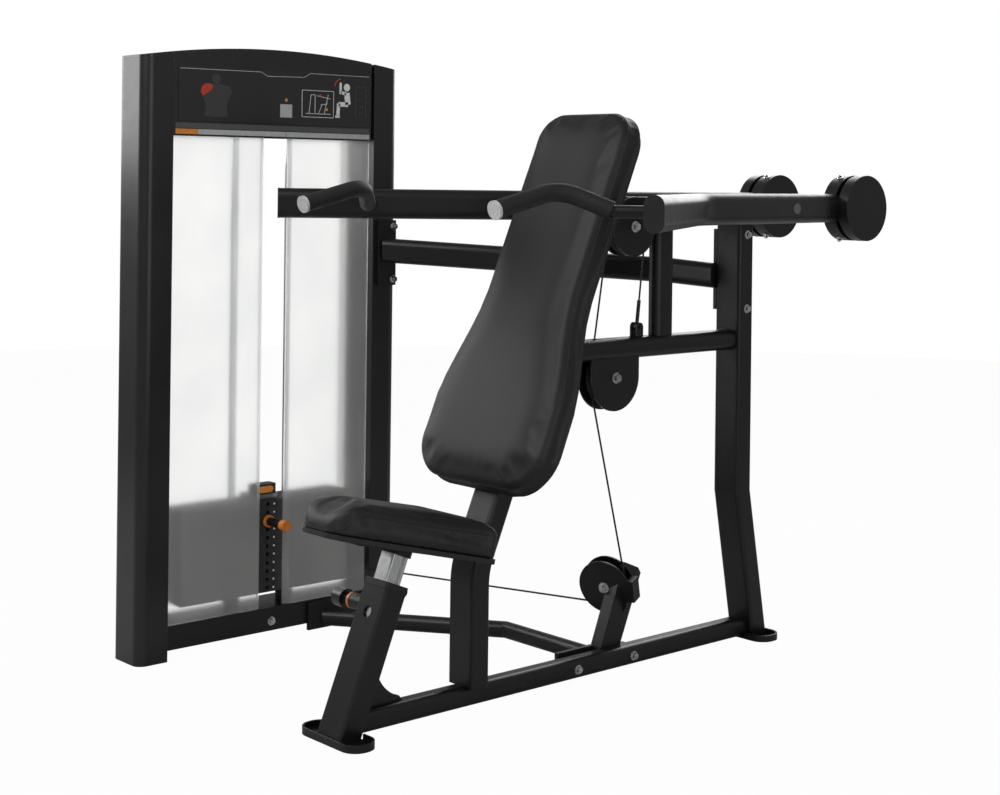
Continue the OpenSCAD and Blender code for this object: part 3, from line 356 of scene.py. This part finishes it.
for name, obj in nodes.items():
    obj.data.materials.clear()
    obj.data.materials.append(NODE_LOOKS.get(name, SLOT_LOOKS[slot_of[name]]))


# ---------------------------------------------------------------- mesh tools

def new_object(name, verts, faces, look, smooth=True):
    mesh = bpy.data.meshes.new(name)
    mesh.from_pydata([tuple(v) for v in verts], [], [tuple(f) for f in faces])
    mesh.validate()
    mesh.update()
    obj = bpy.data.objects.new(name, mesh)
    bpy.context.scene.collection.objects.link(obj)
    mesh.materials.append(look)
    for p in mesh.polygons:
        p.use_smooth = smooth
    return obj


def place(obj, body):
    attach(obj, body)
    return obj


def tube_mesh(path, radius, sides=12, closed=False):
    """Vertices and faces of a round tube along a path, with capped ends unless closed."""
    pts = [Vector(p) for p in path]
    n = len(pts)
    tangents = []
    for i in range(n):
        a = pts[(i - 1) % n] if closed or i else pts[0]
        b = pts[(i + 1) % n] if closed or i < n - 1 else pts[-1]
        tangents.append((b - a).normalized())
    side = tangents[0].orthogonal().normalized()
    verts, faces = [], []
    for i in range(n):
        side = (side - tangents[i] * side.dot(tangents[i])).normalized()
        other = tangents[i].cross(side)
        for k in range(sides):
            a = 2 * math.pi * k / sides
            verts.append(pts[i] + radius * (math.cos(a) * side + math.sin(a) * other))
    last = n if closed else n - 1
    for i in range(last):
        j = (i + 1) % n
        for k in range(sides):
            m = (k + 1) % sides
            faces.append((i * sides + k, i * sides + m, j * sides + m, j * sides + k))
    if not closed:
        faces.append(tuple(reversed(range(sides))))
        faces.append(tuple(range((n - 1) * sides, n * sides)))
    return verts, faces


def resample(points, step, closed=True):
    pts = [np.array(p, float) for p in points]
    if closed:
        pts.append(pts[0])
    out = []
    for a, b in zip(pts[:-1], pts[1:]):
        count = max(1, int(np.linalg.norm(b - a) / step))
        out.extend(a + (b - a) * k / count for k in range(count))
    if not closed:
        out.append(pts[-1])
    return np.array(out)


# ---------------------------------------------------------------- cushions

RIM_STEP = 5 * MM
HELD_HEIGHT = 7 * MM  # the cover is stapled to the board up to here
BOARD_GAP = 0.6 * MM
PUCKER_LENGTH = 9 * MM
PUCKER_DRIFT = 31 * MM
PUCKER_FROM = 12 * MM
PUCKER_DEPTH = 0.35 * MM
PUCKER_REACH = 10 * MM


class Pad:
    """Local frame of a CAD pad: u along X, v along the pad, w outwards from its board."""

    def __init__(self, node, facing):
        mesh = nodes[node].data
        co = np.array([v.co for v in mesh.vertices], float)
        best = {}
        for p in mesh.polygons:
            if p.normal.dot(facing) > 0.5 and abs(p.normal.x) < 0.05:
                key = tuple(round(c, 3) for c in p.normal)
                best[key] = best.get(key, 0.0) + p.area
        self.n = Vector(max(best, key=best.get)).normalized()
        self.u = Vector((1, 0, 0))
        self.v = self.n.cross(self.u).normalized()
        self.axes = np.array([self.u, self.v, self.n])
        local = co @ self.axes.T
        self.origin = np.array([0.0, local[:, 1].mean(), local[:, 2].min()])
        local -= self.origin
        self.thick = float(local[:, 2].max())
        self.mesh = mesh
        self.local = local
        rim = local[local[:, 2] > self.thick - MM][:, :2]
        rim = np.unique(np.round(rim, 5), axis=0)
        centre = (rim.min(0) + rim.max(0)) / 2
        order = np.argsort(np.arctan2(rim[:, 1] - centre[1], rim[:, 0] - centre[0]))
        self.rim = resample(rim[order], RIM_STEP)
        self.tree = KDTree(len(self.rim))
        for i, p in enumerate(self.rim):
            self.tree.insert((p[0], p[1], 0), i)
        self.tree.balance()

    def world(self, local):
        return (np.asarray(local) + self.origin) @ self.axes

    def edge(self, p):
        """Index of the nearest rim point and the distance to it, in the pad's plane."""
        _, index, distance = self.tree.find((p[0], p[1], 0))
        return index, distance


def simulate(obj, frames=20, cap=10 * MM):
    """Swells the closed mesh with cloth pressure, and caps how far any point moves."""
    start = np.array([v.co for v in obj.data.vertices], float)
    cloth = obj.modifiers.new("swell", "CLOTH")
    settings = cloth.settings
    settings.quality = 5
    settings.mass = 0.3
    settings.tension_stiffness = 18
    settings.compression_stiffness = 18
    settings.shear_stiffness = 6
    settings.bending_stiffness = 0.8
    settings.use_pressure = True
    settings.uniform_pressure_force = 4
    settings.effector_weights.gravity = 0
    settings.vertex_group_mass = "held"
    cloth.point_cache.frame_start = 1
    cloth.point_cache.frame_end = frames
    for f in range(1, frames + 1):
        bpy.context.scene.frame_set(f)
    evaluated = obj.evaluated_get(bpy.context.evaluated_depsgraph_get())
    moved = np.array([v.co for v in evaluated.data.vertices], float)
    obj.modifiers.remove(cloth)
    bpy.context.scene.frame_set(1)
    shift = moved - start
    length = np.linalg.norm(shift, axis=1)[:, None]
    shift *= np.minimum(1.0, cap / np.maximum(length, 1e-9))
    obj.data.vertices.foreach_set("co", (start + shift).ravel())
    obj.data.update()


def baked(obj, kind, **values):
    """Adds a modifier, bakes it into the mesh and removes it."""
    modifier = obj.modifiers.new("bake", kind)
    for key, value in values.items():
        setattr(modifier, key, value)
    result = bpy.data.meshes.new_from_object(obj.evaluated_get(bpy.context.evaluated_depsgraph_get()))
    obj.modifiers.clear()
    obj.data = result


def drop(radius, distance):
    """How far a rounded edge of this radius has fallen at a distance inside its rim."""
    return radius - math.sqrt(max(0.0, radius ** 2 - max(0.0, radius - distance) ** 2))


def cushion(name, node, pad, body, inset, edge_r, crown, crown_run, nose_r=0.0, voxel=6 * MM, cap=8 * MM):
    """Padded cushion in a CAD pad's space: shaped, swollen by cloth pressure, and puckered at its rim."""
    size = pad.local.max(0) - pad.local.min(0)
    scale = 1 - 2 * inset / size[:2]
    faces = [tuple(p.vertices) for p in pad.mesh.polygons]
    start = pad.local.copy()
    middle = (start.max(0) + start.min(0)) / 2
    start[:, :2] = (start[:, :2] - middle[:2]) * scale + middle[:2]
    obj = new_object(name, start, faces, SLOT_LOOKS["vinyl"])
    baked(obj, "WELD", merge_threshold=1e-5)
    baked(obj, "REMESH", mode="VOXEL", voxel_size=voxel)
    low_v = pad.rim[:, 1].min()
    co = np.array([v.co for v in obj.data.vertices], float)
    for p in co:
        _, d = pad.edge(p)
        d = max(0.0, d - inset)
        share = p[2] / pad.thick
        top = pad.thick - drop(edge_r, d)
        if nose_r:
            run = p[1] - low_v - inset
            if run < nose_r:
                top = min(top, pad.thick - drop(nose_r, max(0, run)))
        ease = min(1.0, d / crown_run)
        top += crown * (1 - (1 - ease) ** 2)
        p[2] = share * top
    obj.data.vertices.foreach_set("co", co.ravel())
    obj.data.update()
    held = obj.vertex_groups.new(name="held")
    held.add([i for i, p in enumerate(co) if p[2] < HELD_HEIGHT], 1.0, "REPLACE")
    simulate(obj, cap=cap)
    obj.vertex_groups.clear()
    baked(obj, "SMOOTH", factor=0.5, iterations=3)
    baked(obj, "SUBSURF", levels=1)
    co = np.array([v.co for v in obj.data.vertices], float)
    normals = np.array([v.normal for v in obj.data.vertices], float)
    for p, n in zip(co, normals):
        index, d = pad.edge(p)
        along = index * RIM_STEP
        fold = math.sin(along / PUCKER_LENGTH + 1.3 * math.sin(along / PUCKER_DRIFT))
        if p[2] > PUCKER_FROM:
            p += n * (PUCKER_DEPTH * fold * math.exp(-d / PUCKER_REACH))
        if p[2] < BOARD_GAP:
            p[2] = BOARD_GAP
    obj.data.vertices.foreach_set("co", pad.world(co).ravel())
    for p in obj.data.polygons:
        p.use_smooth = True
    obj.data.update()
    obj.data.materials.clear()
    obj.data.materials.append(SLOT_LOOKS["vinyl"])
    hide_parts(node)
    return place(obj, body)


def on_surface(obj, pad, points, sink):
    """Projects local points onto the cushion and sinks them a little."""
    bm = bmesh.new()
    bm.from_mesh(obj.data)
    tree = BVHTree.FromBMesh(bm)
    bm.free()
    out = []
    for p in pad.world(points):
        spot, normal, _, _ = tree.find_nearest(Vector(p))
        out.append(spot - normal * sink)
    return out


def smoothed(points, rounds=4, closed=True):
    pts = np.array([tuple(p) for p in points], float)
    for _ in range(rounds):
        ends = (pts[0].copy(), pts[-1].copy())
        pts = (np.roll(pts, 1, 0) + 2 * pts + np.roll(pts, -1, 0)) / 4
        if not closed:
            pts[0], pts[-1] = ends
    return pts


seam_look = vinyl("seam_vinyl", (0.007, 0.007, 0.0075))

back = Pad("back_pad", Vector((0, -1, 0.4)))
back_obj = cushion("back_cushion", "back_pad", back, "frame", inset=5 * MM, edge_r=15 * MM, crown=12 * MM,
                   crown_run=110 * MM, voxel=7 * MM, cap=7 * MM)
seat = Pad("seat_pad", Vector((0, 0.2, 1)))
seat_obj = cushion("seat_cushion", "seat_pad", seat, "seat", inset=5 * MM, edge_r=13 * MM, crown=10 * MM,
                   crown_run=90 * MM, nose_r=54 * MM, voxel=6 * MM, cap=7 * MM)


def seam(name, obj, pad, rows, body, radius=1.6 * MM):
    """Sewn piping along one or more rows of local points on a cushion."""
    verts, faces = [], []
    for points, closed in rows:
        path = smoothed(on_surface(obj, pad, points, 0.2 * MM), 3, closed)
        v, f = tube_mesh(path, radius, 8, closed)
        faces.extend(tuple(i + len(verts) for i in face) for face in f)
        verts.extend(v)
    return place(new_object(name, verts, faces, seam_look), body)


def level(pad, height):
    return np.column_stack([pad.rim, np.full(len(pad.rim), height)])


back_rows = [(level(back, back.thick - 13 * MM), True), (level(back, 7 * MM), True)]
seam("back_seams", back_obj, back, back_rows, "frame")


def nose_row(pad, side):
    """Seat seam on one side: along the top edge from the rear middle, then down round the nose."""
    first_v = pad.rim[:, 1].min() + 22 * MM
    half = pad.rim[pad.rim[:, 0] * side >= -1e-6]
    half = half[half[:, 1] > first_v]
    half = half[np.argsort(np.arctan2(half[:, 1], half[:, 0] * side))][::-1]
    rows = []
    for u, v in half:
        run = min(1.0, max(0.0, (v - first_v) / (58 * MM)))
        rows.append((u, v, 8 * MM + (pad.thick - 20 * MM) * math.sqrt(1 - (1 - run) ** 2)))
    return np.array(rows)


seam("seat_seams", seat_obj, seat, [(nose_row(seat, s), False) for s in (1, -1)], "seat")


# ---------------------------------------------------------------- cables that change length

def arc(centre, radius, a0, a1, count):
    """Points of an arc in the YZ plane, angles in degrees from +Y."""
    angles = [math.radians(a0 + (a1 - a0) * k / count) for k in range(count + 1)]
    return [(centre[0], centre[1] + radius * math.cos(a), centre[2] + radius * math.sin(a)) for a in angles]


def middle_of(node):
    lo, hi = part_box(node)
    return (lo + hi) / 2


rope_r = 2.5 * MM
big_wrap = 70.5 * MM  # radius of the cable's middle line on the two large pulleys
wrap_end = 195.17  # angle at which the cable leaves the middle pulley for the lower one
eye_in = 12 * MM  # the anchor's eye bolt, from the front of the anchor
eye_up = 26 * MM  # the same, above the upper tube
rod_length = 72.2 * MM
arm_c = middle_of("arm_pulley")
mid_c = middle_of("mid_pulley")
span_angle = math.degrees(math.atan2(arm_c.z - mid_c.z, arm_c.y - mid_c.y)) + 90
eye = Vector((0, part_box("cable_anchor")[0].y + eye_in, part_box("upper_tube")[1].z + eye_up))
to_eye = eye - arm_c
flat = math.hypot(to_eye.y, to_eye.z)
anchor_touch = math.degrees(math.atan2(to_eye.z, to_eye.y)) + math.degrees(math.acos(big_wrap / flat))
anchor_meet = Vector(arc(arm_c, big_wrap, anchor_touch, anchor_touch, 1)[0])
anchor = eye + rod_length * (anchor_meet - eye).normalized()

front_path = arc(mid_c, big_wrap, wrap_end, span_angle, 10)
upper = arc(arm_c, big_wrap, span_angle, span_angle - 90, 18)
start, stop = Vector(front_path[-1]), Vector(upper[0])
front_path += [tuple(start.lerp(stop, k / 40)) for k in range(1, 40)] + upper
verts, faces = tube_mesh(front_path, rope_r, 12)
front_cable = new_object("lift_cable_front", verts, faces, SLOT_LOOKS["cable_jacket"])
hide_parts("cable_arm")
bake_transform(front_cable)

rear_arc = arc(arm_c, big_wrap, anchor_touch, span_angle - 90, 10)
start = Vector(rear_arc[0])
rear_path = [tuple(anchor.lerp(start, k / 24)) for k in range(24)] + rear_arc
verts, faces = tube_mesh(rear_path, rope_r, 12)
rear_cable = new_object("lift_cable_rear", verts, faces, SLOT_LOOKS["cable_jacket"])
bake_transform(rear_cable)

lo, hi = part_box("cable_stack")
mid = (lo + hi) / 2
path = [(mid.x, mid.y, lo.z + (hi.z - lo.z) * k / 40) for k in range(41)]
verts, faces = tube_mesh(path, rope_r, 12)
stack_cable = new_object("stack_cable", verts, faces, SLOT_LOOKS["cable_jacket"])
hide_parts("cable_stack")
place(stack_cable, "frame")
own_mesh(stack_cable)

# ---------------------------------------------------------------- printed graphics and small marks

def flat_pieces(name, outlines, x, look, body, depth=0.4 * MM):
    """Raised print on a wall that faces +X: outlines are closed (y, z) loops in metres."""
    verts, faces = [], []
    for loop in outlines:
        n, first = len(loop), len(verts)
        verts.extend((x, y, z) for y, z in loop)
        verts.extend((x + depth, y, z) for y, z in loop)
        faces.append(tuple(first + n + k for k in range(n)))
        faces.append(tuple(first + k for k in reversed(range(n))))
        for k in range(n):
            after = first + (k + 1) % n
            faces.append((first + k, after, n + after, first + n + k))
    obj = new_object(name, verts, faces, look, smooth=False)
    bm = bmesh.new()
    bm.from_mesh(obj.data)
    bmesh.ops.recalc_face_normals(bm, faces=bm.faces)
    bm.to_mesh(obj.data)
    bm.free()
    return place(obj, body)


def stroke(points, width):
    """Closed outline of a line of the given width through the points."""
    pts = [Vector(p) for p in points]
    left, right = [], []
    for i, p in enumerate(pts):
        a = pts[max(0, i - 1)]
        b = pts[min(len(pts) - 1, i + 1)]
        d = (b - a).normalized()
        across = Vector((-d.y, d.x)) * width / 2
        left.append(tuple(p + across))
        right.append(tuple(p - across))
    return left + right[::-1]


def dot(y, z, r, sides=14):
    """Closed outline of a round mark."""
    return [(y + r * math.cos(2 * math.pi * k / sides), z + r * math.sin(2 * math.pi * k / sides))
            for k in range(sides)]


panel_lo, panel_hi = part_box("placard")
PANEL_Y = panel_lo.y
PANEL_Z = panel_lo.z


def on_panel(points):
    """Turns millimetres from the panel's lower front corner into the shared frame."""
    return [(PANEL_Y + y * MM, PANEL_Z + z * MM) for y, z in points]


def oblong_loop(y0, z0, y1, z1):
    return [(y0, z0), (y1, z0), (y1, z1), (y0, z1)]


def torso(y, z, h):
    """Generic upper body: head, neck, shoulders and waist."""
    body = [(-0.36, 0.0), (0.36, 0.0), (0.33, 0.30), (0.50, 0.58), (0.42, 0.72), (0.12, 0.76),
            (-0.12, 0.76), (-0.42, 0.72), (-0.50, 0.58), (-0.33, 0.30)]
    scale = h * 0.86
    return [on_panel([(y + scale * a, z + h * b) for a, b in body]),
            on_panel(dot(y, z + h * 0.88, h * 0.12, 16))]


def sitter(y, z, h):
    """Generic seated figure with raised arms, drawn as strokes."""
    lines = [
        ([(0.0, 0.66), (0.04, 0.36)], 0.17),
        ([(0.04, 0.36), (-0.26, 0.36)], 0.12),
        ([(-0.26, 0.38), (-0.28, 0.06)], 0.10),
        ([(-0.02, 0.64), (-0.20, 0.66)], 0.08),
        ([(-0.20, 0.62), (-0.20, 0.92)], 0.07),
        ([(-0.36, 0.04), (-0.22, 0.04)], 0.06),
    ]
    out = [on_panel(dot(y, z + h * 0.80, h * 0.10))]
    for pts, width in lines:
        placed = [(y + h * a, z + h * b) for a, b in pts]
        out.append(on_panel(stroke(placed, width * h)))
    return out


ink_white = printed("ink_white", (0.95, 0.95, 0.95))
ink_grey = printed("ink_grey", (0.55, 0.56, 0.57))
ink_figure = printed("ink_figure", (0.055, 0.055, 0.055))
ink_dim = printed("ink_dim", (0.10, 0.10, 0.105))
ink_red = printed("ink_red", (0.62, 0.05, 0.03))
ink_orange = printed("ink_orange", (0.85, 0.30, 0.04))
ink_yellow = printed("ink_yellow", (0.80, 0.62, 0.08))
panel_x = panel_hi.x
rule = [(4, 142), (262, 144), (283, 133), (408, 136), (429, 148), (638, 148)]
flat_pieces("placard_rule", [on_panel(stroke(rule, 1.6))], panel_x, ink_grey, "frame")
flat_pieces("placard_torso", torso(117, 14, 118), panel_x, ink_figure, "frame")
muscle = [(68, 80), (74, 70), (88, 78), (102, 88), (106, 100), (96, 105), (80, 103), (70, 94)]
flat_pieces("placard_muscle", [on_panel(muscle)], panel_x + 0.4 * MM, ink_red, "frame", 0.2 * MM)
flat_pieces("placard_chip", [on_panel(oblong_loop(327, 20, 367, 57))], panel_x, ink_grey, "frame")
flat_pieces("placard_chip_dot", [on_panel(dot(347, 69, 5))], panel_x, ink_orange, "frame")
diagram_frame = [
    [(401, 24), (511, 24)], [(401, 100), (511, 100)],
    [(401, 24), (401, 100)], [(511, 24), (511, 100)],
]
diagram_machine = [
    [(415, 34), (500, 34)], [(425, 34), (432, 88)], [(432, 88), (446, 88)], [(446, 88), (446, 34)],
    [(458, 34), (470, 60)], [(466, 60), (490, 64)], [(478, 34), (492, 90)], [(452, 86), (500, 78)],
]
diagram = [on_panel(stroke(line, 1.4)) for line in diagram_frame + diagram_machine]
flat_pieces("placard_diagram", diagram, panel_x, ink_white, "frame")
flat_pieces("placard_diagram_red", [on_panel(oblong_loop(462, 84, 468, 90))],
            panel_x, ink_red, "frame", 0.6 * MM)
flat_pieces("placard_diagram_yellow", [on_panel(oblong_loop(484, 44, 490, 50))],
            panel_x, ink_yellow, "frame", 0.6 * MM)
flat_pieces("placard_sitter", sitter(558, 24, 112), panel_x, ink_white, "frame")
arrow = [(540 + 26 * math.cos(t), 112 + 26 * math.sin(t)) for t in np.linspace(1.75, 3.0, 8)]
flat_pieces("placard_arrow", [on_panel(stroke(arrow, 3.5))], panel_x, ink_red, "frame")
ghost = [[(590, 26), (590, 118)], [(590, 118), (626, 118)], [(626, 118), (626, 26)]]
ghost += [[(600, z), (616, z)] for z in (40, 60, 80, 100)]
flat_pieces("placard_ghost", [on_panel(stroke(line, 1.2)) for line in ghost], panel_x, ink_dim, "frame")

hood_lo, hood_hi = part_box("header_cover")
band_z = hood_lo.z
band_y0 = hood_lo.y + 6 * MM
band_y1 = hood_hi.y - 6 * MM
seam_y = (band_y0 + band_y1) / 2 + 31 * MM


def band(name, y0, y1, z0, z1, look):
    """Stripe along the lower edge of the hood."""
    flat_pieces(name, [oblong_loop(y0, band_z + z0, y1, band_z + z1)], hood_hi.x, look, "frame")


band("hood_band_upper", band_y0, band_y1, 18 * MM, 33 * MM, ink_dim)
band("hood_band_lower_front", band_y0 + 69 * MM, seam_y - 1 * MM, 2 * MM, 16 * MM, ink_grey)
band("hood_band_lower_rear", seam_y + 1 * MM, band_y1, 2 * MM, 16 * MM, ink_grey)
band("hood_band_tip", band_y0, band_y0 + 68 * MM, 2 * MM, 16 * MM, ink_orange)

rest_lo, rest_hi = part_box("plates_resting")
lift_lo, lift_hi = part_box("plates_lifted")
mark_y = (rest_lo.y + rest_hi.y) / 2 + 21 * MM
RESTING_PLATES = 8
LIFTED_PLATES = 3
pitch = (lift_lo.z - rest_lo.z) / RESTING_PLATES


def plate_marks(name, bottom, count, x, body):
    """A pale dot beside the pin hole of each plate."""
    loops = [dot(mark_y, bottom + pitch * (k + 0.48), 3 * MM) for k in range(count)]
    flat_pieces(name, loops, x, ink_white, body)


plate_marks("plate_marks_low", rest_lo.z, RESTING_PLATES, rest_hi.x, "frame")
plate_marks("plate_marks_high", lift_lo.z, LIFTED_PLATES, lift_hi.x, "lifted_stack")
tag_lo, tag_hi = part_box("stack_label")
tag_y = (tag_lo.y + tag_hi.y) / 2
tag_z = (tag_lo.z + tag_hi.z) / 2
oblong = [(tag_y + s * 16 * MM + 9 * MM * math.cos(t + a), tag_z + 9 * MM * math.sin(t + a))
          for s, a in ((1, -math.pi / 2), (-1, math.pi / 2)) for t in np.linspace(0, math.pi, 9)]
flat_pieces("stack_tag", [oblong], tag_hi.x, ink_orange, "lifted_stack", 0.8 * MM)

# ---------------------------------------------------------------- scene

def area(name, where, aim, size, power, height=None):
    data = bpy.data.lights.new(name, "AREA")
    data.energy = power
    data.shape = "RECTANGLE"
    data.size = size
    data.size_y = height or size
    obj = bpy.data.objects.new(name, data)
    bpy.context.scene.collection.objects.link(obj)
    obj.location = where
    obj.rotation_euler = (Vector(aim) - Vector(where)).to_track_quat("-Z", "Y").to_euler()
    return obj


world = bpy.data.worlds.new("studio")
bpy.context.scene.world = world
world.use_nodes = True


def seen_directly(tree):
    """One for rays that reach the camera, also through the frosted sheets, and zero for other light."""
    path = tree.nodes.new("ShaderNodeLightPath")
    either = tree.nodes.new("ShaderNodeMath")
    either.operation = "MAXIMUM"
    tree.links.new(path.outputs["Is Camera Ray"], either.inputs[0])
    tree.links.new(path.outputs["Is Transmission Ray"], either.inputs[1])
    return either.outputs["Value"]


sky = world.node_tree
ambient = sky.nodes["Background"]
ambient.inputs["Color"].default_value = (1, 1, 1, 1)
strength = sky.nodes.new("ShaderNodeMapRange")
AMBIENT_LIGHT = 0.26
BACKDROP_LIGHT = 1.0
strength.inputs["To Min"].default_value = AMBIENT_LIGHT
strength.inputs["To Max"].default_value = BACKDROP_LIGHT
sky.links.new(seen_directly(sky), strength.inputs["Value"])
sky.links.new(strength.outputs["Result"], ambient.inputs["Strength"])

target = (-0.1, 0.65, 0.8)
area("key", (0.6, -2.5, 3.4), target, 2.6, 60)
area("fill", (3.6, 0.3, 1.6), target, 2.2, 16)
area("rim_back", (-1.5, 3.9, 2.6), target, 2.4, 60)
area("side", (-3.0, -0.9, 2.2), target, 1.8, 35)

# The floor is lit grey for the machine's reflections, and glows nearly white where the camera sees it.
FLOOR_GLOW = 0.975
floor_look = Shader("floor")
floor_tone = floor_look.mix(floor_look.span(floor_look.noise(3, 3), "Fac", 0, 1), "Result",
                            (0.44, 0.44, 0.44), (0.46, 0.46, 0.46))
floor_look.link(floor_tone, "Result", floor_look.bsdf, "Base Color")
floor_look.set(Roughness=0.7)
glow = floor_look.add("ShaderNodeEmission")
glow.inputs["Color"].default_value = (1, 1, 1, 1)
paper = floor_look.add("ShaderNodeMixShader")
share = floor_look.add("ShaderNodeMath", operation="MULTIPLY")
share.inputs[1].default_value = FLOOR_GLOW
floor_look.tree.links.new(seen_directly(floor_look.tree), share.inputs[0])
floor_look.link(share, "Value", paper, "Fac")
floor_look.tree.links.new(floor_look.bsdf.outputs["BSDF"], paper.inputs[1])
floor_look.tree.links.new(glow.outputs["Emission"], paper.inputs[2])
floor_look.link(paper, "Shader", floor_look.out, "Surface")
FLOOR_RADIUS = 9.0
FLOOR_SIDES = 96
FLOOR_Y = 0.7
FLOOR_Z = -0.0005
floor_angles = [2 * math.pi * k / FLOOR_SIDES for k in range(FLOOR_SIDES)]
rim = [(FLOOR_RADIUS * math.cos(t), FLOOR_Y + FLOOR_RADIUS * math.sin(t), FLOOR_Z) for t in floor_angles]
floor = new_object("studio_floor", rim, [tuple(range(FLOOR_SIDES))], floor_look.mat, smooth=False)

camera_data = bpy.data.cameras.new("camera")
camera = bpy.data.objects.new("camera", camera_data)
bpy.context.scene.collection.objects.link(camera)
bpy.context.scene.camera = camera
camera_data.sensor_width = 36
camera_data.lens = 61.2
CAMERA_X = 3.185
CAMERA_TURN = math.radians(48.4)
CAMERA_ROLL = 0.0118
MAIN_SHIFT = -0.2165
camera.location = (CAMERA_X, -2.346, 1.300)
camera.matrix_world = (Matrix.Translation(camera.location) @ Matrix.Rotation(CAMERA_TURN, 4, "Z")
                       @ Matrix.Rotation(math.radians(90), 4, "X") @ Matrix.Rotation(CAMERA_ROLL, 4, "Z"))
camera_data.clip_start = 0.05
camera_data.clip_end = 60
# The lens shift belongs to the main view only: other views move the camera away from CAMERA_X.
shift = camera_data.driver_add("shift_y").driver
where = shift.variables.new()
where.name = "x"
where.type = "TRANSFORMS"
where.targets[0].id = camera
where.targets[0].transform_type = "LOC_X"
where.targets[0].transform_space = "WORLD_SPACE"
shift.expression = f"{MAIN_SHIFT} if abs(x - {CAMERA_X}) < 0.001 else 0.0"

view = bpy.context.scene.view_settings
view.view_transform = "Standard"
